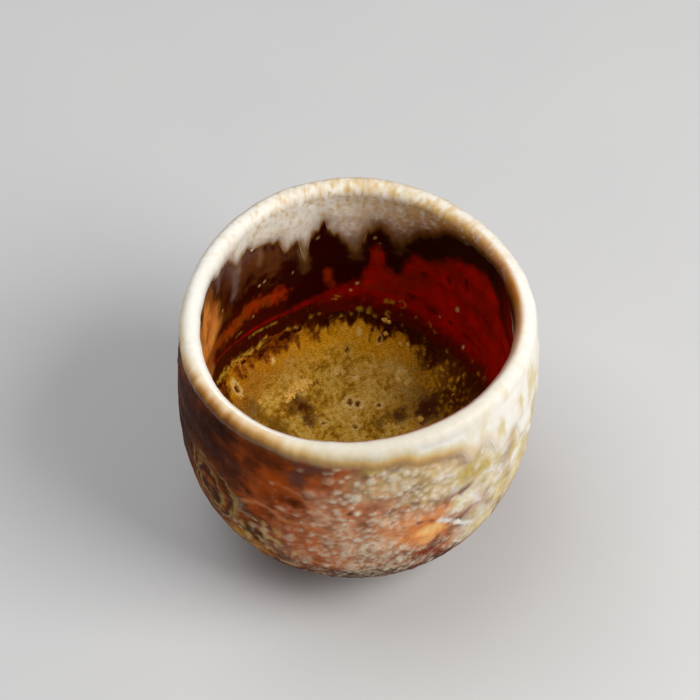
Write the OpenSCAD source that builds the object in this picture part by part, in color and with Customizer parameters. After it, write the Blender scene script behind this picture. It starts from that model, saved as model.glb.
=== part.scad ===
// Yunomi: a handleless stoneware tea cup, thrown round, with a thick rim glaze that has run,
// an iron liner, an ash coat outside and a pool of ash glass in the well.
// Units are millimetres. +Z is up, and the origin is the centre of the face that the foot stands on.

/* [Cup] */
// Height from the foot's face to the top of the glazed lip
cup_h = 70; // [60:0.5:85]
// Widest diameter over the glaze, at the belly
belly_d = 82.4; // [74:0.2:92]
// Height of the belly, where the wall is widest
belly_z = 50; // [44:0.5:54]
// Diameter over the glaze at the lip
lip_d = 80.4; // [74:0.2:90]
// Thickness of the glazed lip
lip_t = 4.6; // [4:0.1:6]
// Height of the outer wall's lowest point, under the floor
base_z = 3.5; // [2.5:0.1:5]
// How square the outer hip is: 2 is an ellipse
hip_power = 3; // [2.4:0.1:3.6]

/* [Inside] */
// Clay wall thickness at the belly
wall_t = 4.2; // [3.4:0.1:5.5]
// Height of the clay floor at the middle of the well
floor_z = 11; // [9:0.5:15]
// How square the well is: 2 is an ellipse
well_power = 2.6; // [2.2:0.1:3.2]

/* [Throwing rings] */
// Height of a throwing ring above its groove
ring_h = 0.3; // [0:0.05:0.6]
// Distance from one throwing ring to the next
ring_pitch = 8; // [6:0.5:11]

/* [Foot] */
// Outer diameter of the foot at its face
foot_d = 47; // [42:0.5:50]
// Width of the foot's ring
foot_w = 5; // [3.5:0.25:6.5]
// How far the foot's ring widens at its top, on each side
foot_flare = 0.4; // [0:0.1:0.8]
// Bevel on the foot's two lower edges
foot_bevel = 0.8; // [0.3:0.1:1.2]
// Height of the bare clay between the foot and the glaze line
bare_h = 2; // [0.5:0.25:4]

/* [Glazes] */
// Thickness of the ash coat outside
coat_t = 0.6; // [0.4:0.05:0.9]
// Thickness of the iron liner inside
liner_t = 0.5; // [0.4:0.05:0.8]
// Thickness of the rim glaze
rim_t = 0.8; // [0.6:0.05:1.1]
// Depth of the rim glaze inside at the far wall, below the lip
rim_in = 16; // [11:0.5:19]
// Depth of the rim glaze inside at the right and left walls, below the lip
rim_side = 5; // [4:0.25:8]
// Depth of the rim glaze outside at the right and far walls, below the lip
rim_out = 9; // [6:0.5:12]
// Depth of the rim glaze outside at the front and left walls, below the lip
rim_front = 4.5; // [4.5:0.25:6]

/* [Runs] */
// Longest run of rim glaze inside, below its edge
run_in = 14; // [6:0.5:16]
// Longest run of rim glaze outside, below its edge
run_out = 15; // [8:0.5:20]
// Highest tongue of liner, above the rim glaze's edge
tongue_h = 6; // [3:0.5:8]
// Width of a run or a tongue at half its length
run_w = 6; // [4:0.25:8]

/* [Crawled beads] */
// Diameter of the largest bead of crawled ash on the outside
bead_d = 3.8; // [3:0.1:4.4]
// Height of the largest bead over the coat
bead_h = 0.5; // [0.3:0.05:0.6]

/* [Ash pool] */
// Height of the pool's edge on the wall
pool_z = 29; // [25:0.5:32]
// Depth of the glass at the middle of the pool
pool_depth = 2.4; // [1.5:0.1:3.5]
// Diameter of the largest nodule on the pool
nodule_d = 6; // [4:0.25:8]
// Share of a nodule's diameter that lies below the pool's surface
nodule_sunk = 0.7; // [0.5:0.05:0.8]
// Outer diameter of the crust ring on the pool
crust_d = 9; // [7:0.25:11]
// Height of the crust ring above the pool
crust_h = 1.4; // [0.8:0.1:2]

/* [Hidden] */

$fn = 96;

// Steps along the stretches of the section
coat_steps = 16;
bare_steps = 3;
seat_steps = 5;
wall_steps = 18;
lip_steps = 10;
liner_steps = 12;
pool_steps = 14;
bell_steps = 8;
bead_steps = 3;
plug_steps = 4;

// The clay under the glazes
lip_round = lip_t / 2 - rim_t;
lip_mid_r = lip_d / 2 - lip_t / 2;
lip_mid_z = cup_h - lip_t / 2;
clay_r = belly_d / 2 - coat_t;
hip_h = belly_z - base_z;
well_r = clay_r - wall_t;
well_h = belly_z - floor_z;

// The throwing rings fade out at this height on the hip
ring_low_z = base_z + hip_h / 4;

// Radii of the foot at its face and at its seat under the wall
foot_r = foot_d / 2;
foot_in_r = foot_r - foot_w;
seat_r = foot_r + foot_flare;
seat_in_r = foot_in_r - foot_flare;

// Levels of the glaze edges
rim_in_z = cup_h - rim_in;
rim_out_z = cup_h - rim_out;
side_rise = rim_in - rim_side;
front_rise = rim_out - rim_front;

// Reach of the cutting shapes past the surfaces that they cut, and of a bell's root behind the glaze's edge
past = rim_t * 3;
root = past / 4;

// Runs, tongues and rises: [direction in degrees, share of the full length, share of the full width].
// Direction 0 is the right side, and 90 is the far side.
runs_inside = [
    [91, 0.68, 0.6], [109, 0.93, 0.65], [119, 0.6, 0.8], [141, 0.45, 0.5], [75, 0.4, 0.7],
    [340, 0.45, 1.1], [312, 0.6, 1], [285, 0.4, 1.2], [250, 0.7, 1], [218, 0.45, 1.1]
];
tongues_inside = [[100, 0.75, 0.7], [83, 0.6, 0.6], [128, 0.8, 0.8], [300, 0.6, 1.1], [232, 0.5, 1]];
rises_inside = [[164, 1, 4], [26, 1, 4.4]];
runs_outside = [
    [336, 1, 0.9], [321, 0.6, 0.8], [308, 0.3, 0.7], [352, 0.9, 0.9], [20, 0.55, 1.1], [48, 0.35, 1],
    [85, 0.55, 1.2], [120, 0.3, 1]
];
rises_outside = [[185, 0.9, 4.2], [212, 1, 4.2], [238, 0.95, 4.2], [264, 1, 4.2], [286, 0.7, 3.2]];

// Beads: [direction in degrees, height as a share of the cup's height, share of the largest diameter]
beads = [
    [256, 0.8, 0.8], [262, 0.875, 0.9], [281, 0.865, 0.85], [285, 0.765, 1], [296, 0.8, 0.8],
    [247, 0.69, 0.7], [259, 0.665, 0.8], [279, 0.65, 0.8], [293, 0.66, 0.7], [249, 0.53, 0.8],
    [262, 0.55, 0.8], [276, 0.51, 0.7], [288, 0.54, 0.7], [240, 0.44, 0.9], [254, 0.41, 0.8],
    [268, 0.39, 0.8], [283, 0.41, 0.8], [300, 0.44, 0.7], [33, 0.6, 0.8], [56, 0.48, 0.9], [74, 0.64, 0.8],
    [104, 0.57, 1], [128, 0.68, 0.8], [146, 0.51, 0.9], [165, 0.62, 0.8]
];

// Nodules: [direction in degrees, distance as a share of the pool's radius, share of the largest diameter]
nodules = [
    [90, 0.72, 1], [62, 0.77, 0.8], [35, 0.6, 0.6], [110, 0.5, 0.55], [150, 0.8, 0.6],
    [300, 0.4, 0.7], [240, 0.55, 0.6]
];
// The crust ring's direction, and its distance as a share of the pool's radius
crust_at = [126, 0.68];

// A power curve's share of its reach
function share(wave, power) = pow(abs(wave), 2 / power);

// Throwing ring at height z
function ripple(z) =
    z > lip_mid_z || z < ring_low_z ? 0 :
    ring_h / 2 * sin(360 * z / ring_pitch) * sin(180 * (z - ring_low_z) / (lip_mid_z - ring_low_z));

// A point moved along r by the throwing ring at its height
function ringed(r, z) = [r + ripple(z), z];

// Outer hip at angle a, from the belly at 0 to the axis at 90, grown outwards by g
function hip_point(a, g) =
    ringed((clay_r + g) * share(cos(a), hip_power), belly_z - (hip_h + g) * share(sin(a), hip_power));

// Angle on the bare hip at radius r, and at height z
function hip_angle_at_r(r) = acos(pow(r / clay_r, hip_power / 2));
function hip_angle_at_z(z) = asin(pow((belly_z - z) / hip_h, hip_power / 2));

// Well at angle a, from the belly at 0 to the axis at 90, grown inwards by g
function well_point(a, g) =
    ringed((well_r - g) * share(cos(a), well_power), belly_z - (well_h - g) * share(sin(a), well_power));

// Angle on the bare well at height z
function well_angle_at_z(z) = asin(pow((belly_z - z) / well_h, well_power / 2));

// Height above the belly at share u, from the belly at 0 to the lip at 1
function wall_z(u) = belly_z + (lip_mid_z - belly_z) * u;

// Outer wall above the belly, grown outwards by g, and inner wall, grown inwards by g
function wall_point(u, g) = ringed(clay_r + g + (lip_mid_r + lip_round - clay_r) * u * u, wall_z(u));
function inner_wall_point(u, g) = ringed(well_r - g + (lip_mid_r - lip_round - well_r) * u * u, wall_z(u));

// Lip at angle a, from the outside at 0 over the top at 90 to the inside at 180, grown by g
function lip_point(a, g) = [lip_mid_r + (lip_round + g) * cos(a), lip_mid_z + (lip_round + g) * sin(a)];

// A list from its last entry to its first
function backwards(list) = [for (i = [len(list) - 1 : -1 : 0]) list[i]];

// Angles of a stretch in even steps, without its last one
function stretch(from_a, to_a, steps) = [for (i = [0 : steps - 1]) from_a + (to_a - from_a) * i / steps];

// Angles where the pieces meet on the hip and in the well
seat_a = hip_angle_at_r(seat_r);
seat_in_a = hip_angle_at_r(seat_in_r);
line_a = hip_angle_at_z(hip_point(seat_a, 0)[1] + bare_h);
pool_a = well_angle_at_z(pool_z);

// Stretches of the section, each from its lower end to its upper end. Pieces that meet share these points.
seat_angles = stretch(seat_in_a, seat_a, seat_steps);
bare_angles = stretch(seat_a, line_a, bare_steps);
coat_angles = concat(stretch(line_a, 0, coat_steps), [0]);
pool_angles = stretch(90, pool_a, pool_steps);
liner_angles = concat(stretch(pool_a, 0, liner_steps), [0]);
wall_shares = [for (i = [1 : wall_steps - 1]) i / wall_steps];
lip_angles = [for (i = [0 : lip_steps]) 180 * i / lip_steps];

// Line up the outside of the clay from the glaze line to the lip, grown by g
function outside_line(g) =
    concat(
        [for (a = coat_angles) hip_point(a, g)],
        [for (u = wall_shares) wall_point(u, g)]
    );

// Line up the inside of the clay from the pool's edge to the lip, grown by g
function inside_line(g) =
    concat(
        [for (a = liner_angles) well_point(a, g)],
        [for (u = wall_shares) inner_wall_point(u, g)]
    );

// Coat's surface outside at height z
function coat_point(z) =
    z < belly_z ?
        hip_point(hip_angle_at_z(z), coat_t) :
        wall_point((z - belly_z) / (lip_mid_z - belly_z), coat_t);

// Line over the lip from the outside to the inside, grown by g
function lip_line(g) = [for (a = lip_angles) lip_point(a, g)];

// Depth of the ash glass at angle a of the well, from the liner's thickness at the edge to the full depth
function pool_g(a) =
    let(rise = (a - pool_a) / (90 - pool_a))
    liner_t + (pool_depth - liner_t) * (1 - cos(180 * rise)) / 2;

// The pool's upper surface, from the middle to its edge
pool_top = [for (a = concat(pool_angles, [pool_a])) well_point(a, pool_g(a))];
pool_r = pool_top[len(pool_top) - 1][0];

// Height of the pool's upper surface at distance r from the middle
function pool_z_at(r) = lookup(r, pool_top);

// Band between a line and the same line moved by the glaze's thickness
module band(line, moved) {
    rotate_extrude()
        polygon(concat(line, backwards(moved)));
}

// Smooth bump of height h over the line y = 0, about w wide at half its height, with a stem down to y = -stem
module bell(w, h, stem) {
    polygon(concat(
        [[w, -stem], [-w, -stem]],
        [for (i = [-bell_steps : bell_steps])
            [i / bell_steps * w, (h + root) * (1 + cos(180 * i / bell_steps)) / 2 - root]
        ]
    ));
}

// A bell stood on the level z, facing the given direction, cut through from radius r0 to r1.
// Way 1 points up and way -1 points down.
module radial_bell(direction, z, w, h, stem, way, r0, r1) {
    rotate([0, 0, direction])
        translate([r0, 0, z])
            rotate([90, 0, 90])
                linear_extrude(height = r1 - r0)
                    mirror([0, way < 0 ? 1 : 0])
                        bell(w, h, stem);
}

// Runs, tongues or rises of one list, as cutting shapes
module bells(list, z, h, stem, way, r0, r1) {
    for (entry = list)
        radial_bell(entry[0], z, run_w * entry[2], h * entry[1], stem, way, r0, r1);
}

// Space inside the middle of the wall, from the level z0 to above the lip
module inside_plug(z0) {
    rotate_extrude()
        polygon(concat(
            [[0, cup_h + past], [0, z0], [clay_r - wall_t / 2, z0]],
            [for (i = [0 : plug_steps])
                (wall_point(i / plug_steps, 0) + inner_wall_point(i / plug_steps, 0)) / 2
            ],
            [[lip_mid_r, cup_h + past]]
        ));
}

// Space that the liner takes inside: up to the rim glaze's edge, with its tongues and rises, without the runs
module liner_field() {
    intersection() {
        inside_plug(0);
        difference() {
            union() {
                cylinder(d = belly_d, h = rim_in_z);
                bells(tongues_inside, rim_in_z, tongue_h, past, 1, well_r / 2, belly_d / 2);
                bells(rises_inside, rim_in_z, side_rise, past, 1, well_r / 2, belly_d / 2);
            }
            bells(runs_inside, rim_in_z, run_in, rim_in, -1, well_r / 2, belly_d / 2 + past);
        }
    }
}

// Space that the ash coat takes outside: up to the rim glaze's edge, with its rises, without the runs
module coat_field() {
    difference() {
        union() {
            cylinder(d = belly_d + 2 * past, h = rim_out_z);
            bells(rises_outside, rim_out_z, front_rise, past, 1, well_r, belly_d / 2 + past);
        }
        inside_plug(pool_z);
        bells(runs_outside, rim_out_z, run_out, past, -1, well_r, belly_d / 2 + 2 * past);
    }
}

// Thrown wall and floor with a rounded lip and throwing rings
module clay_body() {
    color([0.47, 0.33, 0.24])
        rotate_extrude()
            polygon(concat(
                [[0, hip_point(seat_in_a, 0)[1]]],
                [for (a = concat(seat_angles, bare_angles)) hip_point(a, 0)],
                outside_line(0),
                lip_line(0),
                backwards(inside_line(0)),
                backwards([for (a = pool_angles) well_point(a, 0)])
            ));
}

// Foot under the floor: its seat follows the underside of the wall, and its face is flat
module foot_ring() {
    color([0.36, 0.24, 0.17])
        rotate_extrude()
            polygon(concat(
                [
                    [foot_in_r, foot_bevel],
                    [foot_in_r + foot_bevel, 0],
                    [foot_r - foot_bevel, 0],
                    [foot_r, foot_bevel]
                ],
                backwards([for (a = concat(seat_angles, [seat_a])) hip_point(a, 0)])
            ));
}

// White glaze over the lip, cut along the runs and the tongues
module rim_glaze() {
    color([0.86, 0.81, 0.72])
        difference() {
            band(
                concat(outside_line(0), lip_line(0), backwards(inside_line(0))),
                concat(outside_line(rim_t), lip_line(rim_t), backwards(inside_line(rim_t)))
            );
            liner_field();
            coat_field();
        }
}

// Iron liner on the inside wall, from the pool's edge to the rim glaze
module inner_glaze() {
    color([0.42, 0.12, 0.05])
        intersection() {
            band(inside_line(0), inside_line(liner_t));
            liner_field();
        }
}

// Ash glass over the well, deepest in the middle
module ash_pool() {
    color([0.52, 0.42, 0.16])
        rotate_extrude()
            polygon(concat(
                [for (a = concat(pool_angles, [pool_a])) well_point(a, 0)],
                backwards(pool_top)
            ));
}

// Everything under the pool's upper surface
module under_pool() {
    rotate_extrude()
        polygon(concat([[pool_r, -past], [0, -past]], pool_top));
}

// Round nodule of diameter d, sunk towards the pool
module nodule(direction, distance, d) {
    rotate([0, 0, direction])
        translate([distance, 0, pool_z_at(distance) + d * (1 / 2 - nodule_sunk)])
            sphere(d = d);
}

// Ring of crust round a hollow, laid on the slope of the pool
module crust_ring(direction, distance) {
    near_z = pool_z_at(distance - crust_d / 2);
    far_z = pool_z_at(distance + crust_d / 2);
    rotate([0, 0, direction])
        translate([distance, 0, (near_z + far_z) / 2])
            rotate([0, -atan2(far_z - near_z, crust_d), 0])
                rotate_extrude()
                    translate([crust_d / 2 - crust_h, 0])
                        circle(r = crust_h);
}

// Crust and nodules of fused ash, seated on the pool
module kiln_crumbs() {
    color([0.74, 0.66, 0.45])
        difference() {
            union() {
                for (entry = nodules)
                    nodule(entry[0], pool_r * entry[1], nodule_d * entry[2]);
                crust_ring(crust_at[0], pool_r * crust_at[1]);
            }
            under_pool();
        }
}

// Dome of crawled ash at height z, square to the wall, rooted halfway through the coat
module bead(direction, z, d, h) {
    surface = coat_point(z);
    lean = coat_point(z + d / 2) - coat_point(z - d / 2);
    rotate([0, 0, direction])
        translate([surface[0], 0, surface[1]])
            rotate([0, 90 + atan2(lean[0], lean[1]), 0])
                rotate_extrude()
                    polygon(concat(
                        [[0, -coat_t / 2], [d / 2, -coat_t / 2]],
                        [for (i = [0 : bead_steps])
                            [d / 2 * cos(90 * i / bead_steps), h * sin(90 * i / bead_steps)]
                        ]
                    ));
}

// Ash and flashing coat outside, from the glaze line over the foot to the rim glaze, with its main beads
module outer_glaze() {
    color([0.62, 0.37, 0.2])
        union() {
            intersection() {
                band(outside_line(0), outside_line(coat_t));
                coat_field();
            }
            for (entry = beads)
                bead(entry[0], cup_h * entry[1], bead_d * entry[2], bead_h * entry[2]);
        }
}

clay_body();
foot_ring();
rim_glaze();
inner_glaze();
ash_pool();
kiln_crumbs();
outer_glaze();
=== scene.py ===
from math import cos, pi, radians, sin, tau
from types import SimpleNamespace

import bpy
import numpy as np
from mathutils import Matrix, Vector


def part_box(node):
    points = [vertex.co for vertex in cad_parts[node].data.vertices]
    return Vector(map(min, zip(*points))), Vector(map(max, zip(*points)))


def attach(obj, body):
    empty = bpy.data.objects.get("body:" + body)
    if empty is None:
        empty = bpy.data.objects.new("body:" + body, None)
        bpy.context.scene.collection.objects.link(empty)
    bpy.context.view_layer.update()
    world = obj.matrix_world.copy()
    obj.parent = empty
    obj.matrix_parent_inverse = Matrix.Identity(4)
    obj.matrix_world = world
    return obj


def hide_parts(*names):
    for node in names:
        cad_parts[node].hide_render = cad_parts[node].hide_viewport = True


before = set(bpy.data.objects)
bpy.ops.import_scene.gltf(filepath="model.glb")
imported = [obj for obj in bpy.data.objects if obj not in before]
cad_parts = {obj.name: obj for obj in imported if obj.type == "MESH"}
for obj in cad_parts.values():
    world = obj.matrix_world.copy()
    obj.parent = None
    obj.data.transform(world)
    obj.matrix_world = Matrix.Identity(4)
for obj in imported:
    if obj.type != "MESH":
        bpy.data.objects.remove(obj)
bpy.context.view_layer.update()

# Units below are millimetres and degrees, and meshes are turned into metres when they are made.
# Direction 0 is +X, to the right in the view, and 90 is +Y, the far side.
MM = 0.001
SEED = 7

# Clay section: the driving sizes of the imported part
CLAY_R, BELLY_Z, HIP_H, HIP_POWER = 40.6, 50.0, 46.5, 3.0
WELL_R, WELL_H, WELL_POWER = 36.4, 39.0, 2.6
LIP_MID_R, LIP_MID_Z, LIP_ROUND = 37.9, 67.7, 1.5
RING_H, RING_PITCH, RING_LOW_Z = 0.3, 8.0, 15.1
COAT_T, LINER_T, RIM_T = 0.6, 0.5, 0.8
POOL_Z, POOL_DEPTH = 29.0, 2.4
FOOT_R, FOOT_W, FOOT_FLARE, FOOT_BEVEL = 23.5, 5.0, 0.4, 0.8
# Heights over the face of the clay of the hidden backs of the coats and of the pool
COAT_BACK, POOL_BACK = -0.15, -0.2

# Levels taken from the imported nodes
CUP_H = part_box("rim_glaze")[1].z / MM
LINE_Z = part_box("outer_glaze")[0].z / MM
UNDER_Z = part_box("clay_body")[0].z / MM

# How the hand-thrown cup departs from a true round at its lip: tilt, oval and three-sided parts
LIP_TILT = 1.03
LIP_WAVES = ((2, -0.53, 0.04), (3, 0.58, -0.59))
TRUE_BELOW_Z = 12.0

# Edges of the glazes as (direction, height) of each tip and peak, with smooth stretches between them
WHITE_EDGE_INSIDE = (
    (0, 58), (7.5, 60.2), (12.5, 63.5), (18.5, 66.2), (25, 66.6), (32, 65.9), (38, 65.8), (45, 64.6),
    (51.5, 63.6), (60.5, 59.5), (64, 57.8), (69.5, 55), (72.5, 52.5), (75, 53), (77.5, 55.5), (81, 57.2),
    (84.8, 55), (87, 51), (88.5, 48), (90.5, 47.5), (93.8, 51.2), (97, 54.3), (100, 55.6), (101.2, 58.8),
    (104, 56), (106.6, 54), (107.5, 50.5), (109.3, 46), (112, 54), (115.8, 52), (121, 57), (125.5, 58.5),
    (131, 59.5), (134.5, 61.5), (140.5, 59), (147.5, 65), (153.8, 64), (160, 67.4), (166, 67.4), (175, 67),
    (185, 66), (200, 62), (215, 55), (226, 61), (239, 58), (250, 50), (261, 59), (272, 61), (285, 55),
    (297, 61), (312, 51), (326, 60), (341, 56), (352, 60),
)
DARK_EDGE_INSIDE = (
    (10, 50), (18, 52.7), (22, 56.8), (26.5, 59), (31.5, 59.7), (38, 58.9), (44.5, 57), (51, 55),
    (56, 51.8), (62.5, 49.3), (67, 50.3), (69, 47), (73.5, 41.2), (77.8, 43.5), (79.6, 49), (81.5, 50.8),
    (83.4, 49), (85.4, 42), (89, 38), (94, 37.2), (98, 35.8), (104, 34.4), (115, 33.2), (124, 42.5),
    (140, 44.5), (152, 55), (166, 63), (182, 63), (200, 57), (215, 47), (231, 55), (250, 43), (266, 53),
    (290, 49), (312, 45), (330, 54), (346, 51),
)
WHITE_EDGE_OUTSIDE = (
    (10, 60), (20, 53), (33, 62), (48, 56), (61, 63), (74, 60), (85, 53), (98, 62), (120, 57), (140, 64),
    (160, 61), (176, 66), (190, 66.5), (215, 68), (240, 68), (252, 67), (262, 65.8), (270, 65.4),
    (275, 64.8), (284, 65.2), (290, 63), (298.5, 62.3), (303, 61.6), (308, 57), (314, 59.5), (321, 52),
    (328, 56), (336, 45), (343, 52), (351, 47),
)
POOL_EDGE = (
    (23, 28.5), (36, 27.6), (49, 27), (70, 28.6), (92, 30.2), (114, 29), (133, 29.4), (159, 32), (200, 30),
    (260, 28.5), (320, 29.5),
)


def srgb(red, green, blue):
    """Linear colour of a screen colour given in 0 to 255."""
    share = np.array((red, green, blue), float) / 255
    return np.where(share <= 0.04045, share / 12.92, ((share + 0.055) / 1.055) ** 2.4)


def ease(low, high, value):
    """0 below low, 1 above high, and a smooth rise between them."""
    share = np.clip((np.asarray(value, float) - low) / (high - low), 0, 1)
    return share * share * (3 - 2 * share)


def perlin(points, seed):
    """Smooth noise of about -1 to 1 at points of shape (n, 3), with one cell per unit."""
    rng = np.random.default_rng(SEED + seed)
    table = rng.permutation(256)
    leans = rng.normal(size=(256, 3))
    lean_x, lean_y, lean_z = (leans / np.linalg.norm(leans, axis=1, keepdims=True)).T
    cell = np.floor(points).astype(int)
    x, y, z = (points - cell).T
    fade_x, fade_y, fade_z = (t ** 3 * (t * (t * 6 - 15) + 10) for t in (x, y, z))
    total = np.zeros(len(points))
    for i, j, k in np.ndindex(2, 2, 2):
        pick = table[(cell[:, 0] + i) & 255]
        pick = table[(pick + cell[:, 1] + j) & 255]
        pick = table[(pick + cell[:, 2] + k) & 255]
        slope = lean_x[pick] * (x - i) + lean_y[pick] * (y - j) + lean_z[pick] * (z - k)
        weight_x, weight_y, weight_z = (t if step else 1 - t
                                        for t, step in ((fade_x, i), (fade_y, j), (fade_z, k)))
        total += weight_x * weight_y * weight_z * slope
    return 1.6 * total


def clouds(points, size, seed, octaves=3, stretch=1.0):
    """Layered noise whose largest cells are size mm wide, and stretch times as tall."""
    scaled = points / (size * np.array((1, 1, stretch)))
    return sum(perlin(scaled * 2 ** k, seed + 31 * k) / 2 ** k for k in range(octaves))


def apart(turn, direction):
    """Degrees from a direction to turn, from -180 to 180."""
    return (turn - direction + 180) % 360 - 180


# Section of the clay, by the distance along it from the top of the lip: outside is negative, inside positive

def ripple(z):
    inside = (z > RING_LOW_Z) & (z < LIP_MID_Z)
    fade = np.sin(pi * np.clip((z - RING_LOW_Z) / (LIP_MID_Z - RING_LOW_Z), 0, 1))
    return np.where(inside, RING_H / 2 * np.sin(tau * z / RING_PITCH) * fade, 0)


def power_curve(angles, reach_r, reach_z, power):
    r = reach_r * np.abs(np.cos(angles)) ** (2 / power)
    z = BELLY_Z - reach_z * np.abs(np.sin(angles)) ** (2 / power)
    return np.column_stack((r, z))


def wall(shares, from_r, to_r):
    return np.column_stack((from_r + (to_r - from_r) * shares ** 2, BELLY_Z + (LIP_MID_Z - BELLY_Z) * shares))


def clay_section():
    quarter = np.linspace(0, pi / 2, 500)
    shares = np.linspace(0, 1, 160)
    over = np.linspace(0, pi, 120)
    hip = power_curve(quarter[::-1], CLAY_R, HIP_H, HIP_POWER)
    outer = wall(shares, CLAY_R, LIP_MID_R + LIP_ROUND)
    lip = np.column_stack((LIP_MID_R + LIP_ROUND * np.cos(over), LIP_MID_Z + LIP_ROUND * np.sin(over)))
    inner = wall(shares[::-1], WELL_R, LIP_MID_R - LIP_ROUND)
    well = power_curve(quarter, WELL_R, WELL_H, WELL_POWER)
    line = np.vstack((hip[:-1], outer[:-1], lip[:-1], inner[:-1], well))
    line[:, 0] += ripple(line[:, 1]) * (line[:, 0] > 1)
    return line


LINE = clay_section()
steps = np.hypot(*np.diff(LINE, axis=0).T)
ALONG = np.concatenate(((0,), np.cumsum(steps)))
ALONG -= ALONG[np.argmax(LINE[:, 1])]
FACING = np.column_stack((np.gradient(LINE[:, 1], ALONG), -np.gradient(LINE[:, 0], ALONG)))
FACING /= np.linalg.norm(FACING, axis=1, keepdims=True)
WELL_END = ALONG[-1]


def inside_at(z):
    """Distance along the section at height z on the inside."""
    half = ALONG >= 0
    return np.interp(-np.asarray(z, float), -LINE[half, 1], ALONG[half])


def outside_at(z):
    """Distance along the section at height z on the outside, which is negative."""
    half = ALONG <= 0
    return np.interp(np.asarray(z, float), LINE[half, 1], ALONG[half])


def wavy(points):
    """Function of direction in radians that runs smoothly through (direction, height) points, all round."""
    directions = np.array([p[0] for p in points], float)
    heights = np.array([p[1] for p in points], float)
    directions = np.concatenate((directions[-1:] - 360, directions, directions[:1] + 360))
    heights = np.concatenate((heights[-1:], heights, heights[:1]))

    def height(theta):
        turn = np.degrees(theta) % 360
        after = np.clip(np.searchsorted(directions, turn), 1, len(directions) - 1)
        share = (turn - directions[after - 1]) / (directions[after] - directions[after - 1])
        share = 0.5 * (ease(0, 1, share) + ease(0.15, 0.85, share))
        return heights[after - 1] + (heights[after] - heights[after - 1]) * share

    return height


def ragged(edge, along_at, size, reach, seed):
    """Distance along the section of a wavy edge, roughened by small drips of that size and reach."""
    directions = np.linspace(0, tau, 2881)
    ring = CLAY_R * np.column_stack((np.cos(directions), np.sin(directions), np.zeros_like(directions)))
    places = along_at(edge(directions)) + reach * clouds(ring, size, seed, 2)
    return lambda theta: np.interp(np.asarray(theta) % tau, directions, places)


white_in = ragged(wavy(WHITE_EDGE_INSIDE), inside_at, 3.0, 0.5, 1)
dark_in = ragged(wavy(DARK_EDGE_INSIDE), inside_at, 4.0, 0.6, 2)
white_out = ragged(wavy(WHITE_EDGE_OUTSIDE), outside_at, 3.0, 0.5, 3)
pool_rim = ragged(wavy(POOL_EDGE), inside_at, 3.0, 0.6, 4)
coat_line = ragged(lambda theta: np.full_like(theta, LINE_Z), outside_at, 9.0, 0.8, 5)


def settle(points):
    """Moves points of the true round to where they lie on the hand-thrown cup."""
    theta = np.arctan2(points[:, 1], points[:, 0])
    grown = ease(TRUE_BELOW_Z, CUP_H, points[:, 2])
    wave = sum(a * np.cos(n * theta) + b * np.sin(n * theta) for n, a, b in LIP_WAVES)
    radius = np.hypot(points[:, 0], points[:, 1])
    factor = 1 + wave * grown / np.maximum(radius, 1)
    return np.column_stack((points[:, :2] * factor[:, None], points[:, 2] + LIP_TILT * np.cos(theta) * grown))


def raised(theta, along, height):
    """Points at a height in mm over the clay, where the section is followed for that distance."""
    r = np.interp(along, ALONG, LINE[:, 0]) + height * np.interp(along, ALONG, FACING[:, 0])
    z = np.interp(along, ALONG, LINE[:, 1]) + height * np.interp(along, ALONG, FACING[:, 1])
    return np.column_stack((r * np.cos(theta), r * np.sin(theta), z))


# How far round the cup the nearest point of a wavy edge is looked for
EDGE_SEARCH = radians(20)


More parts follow.
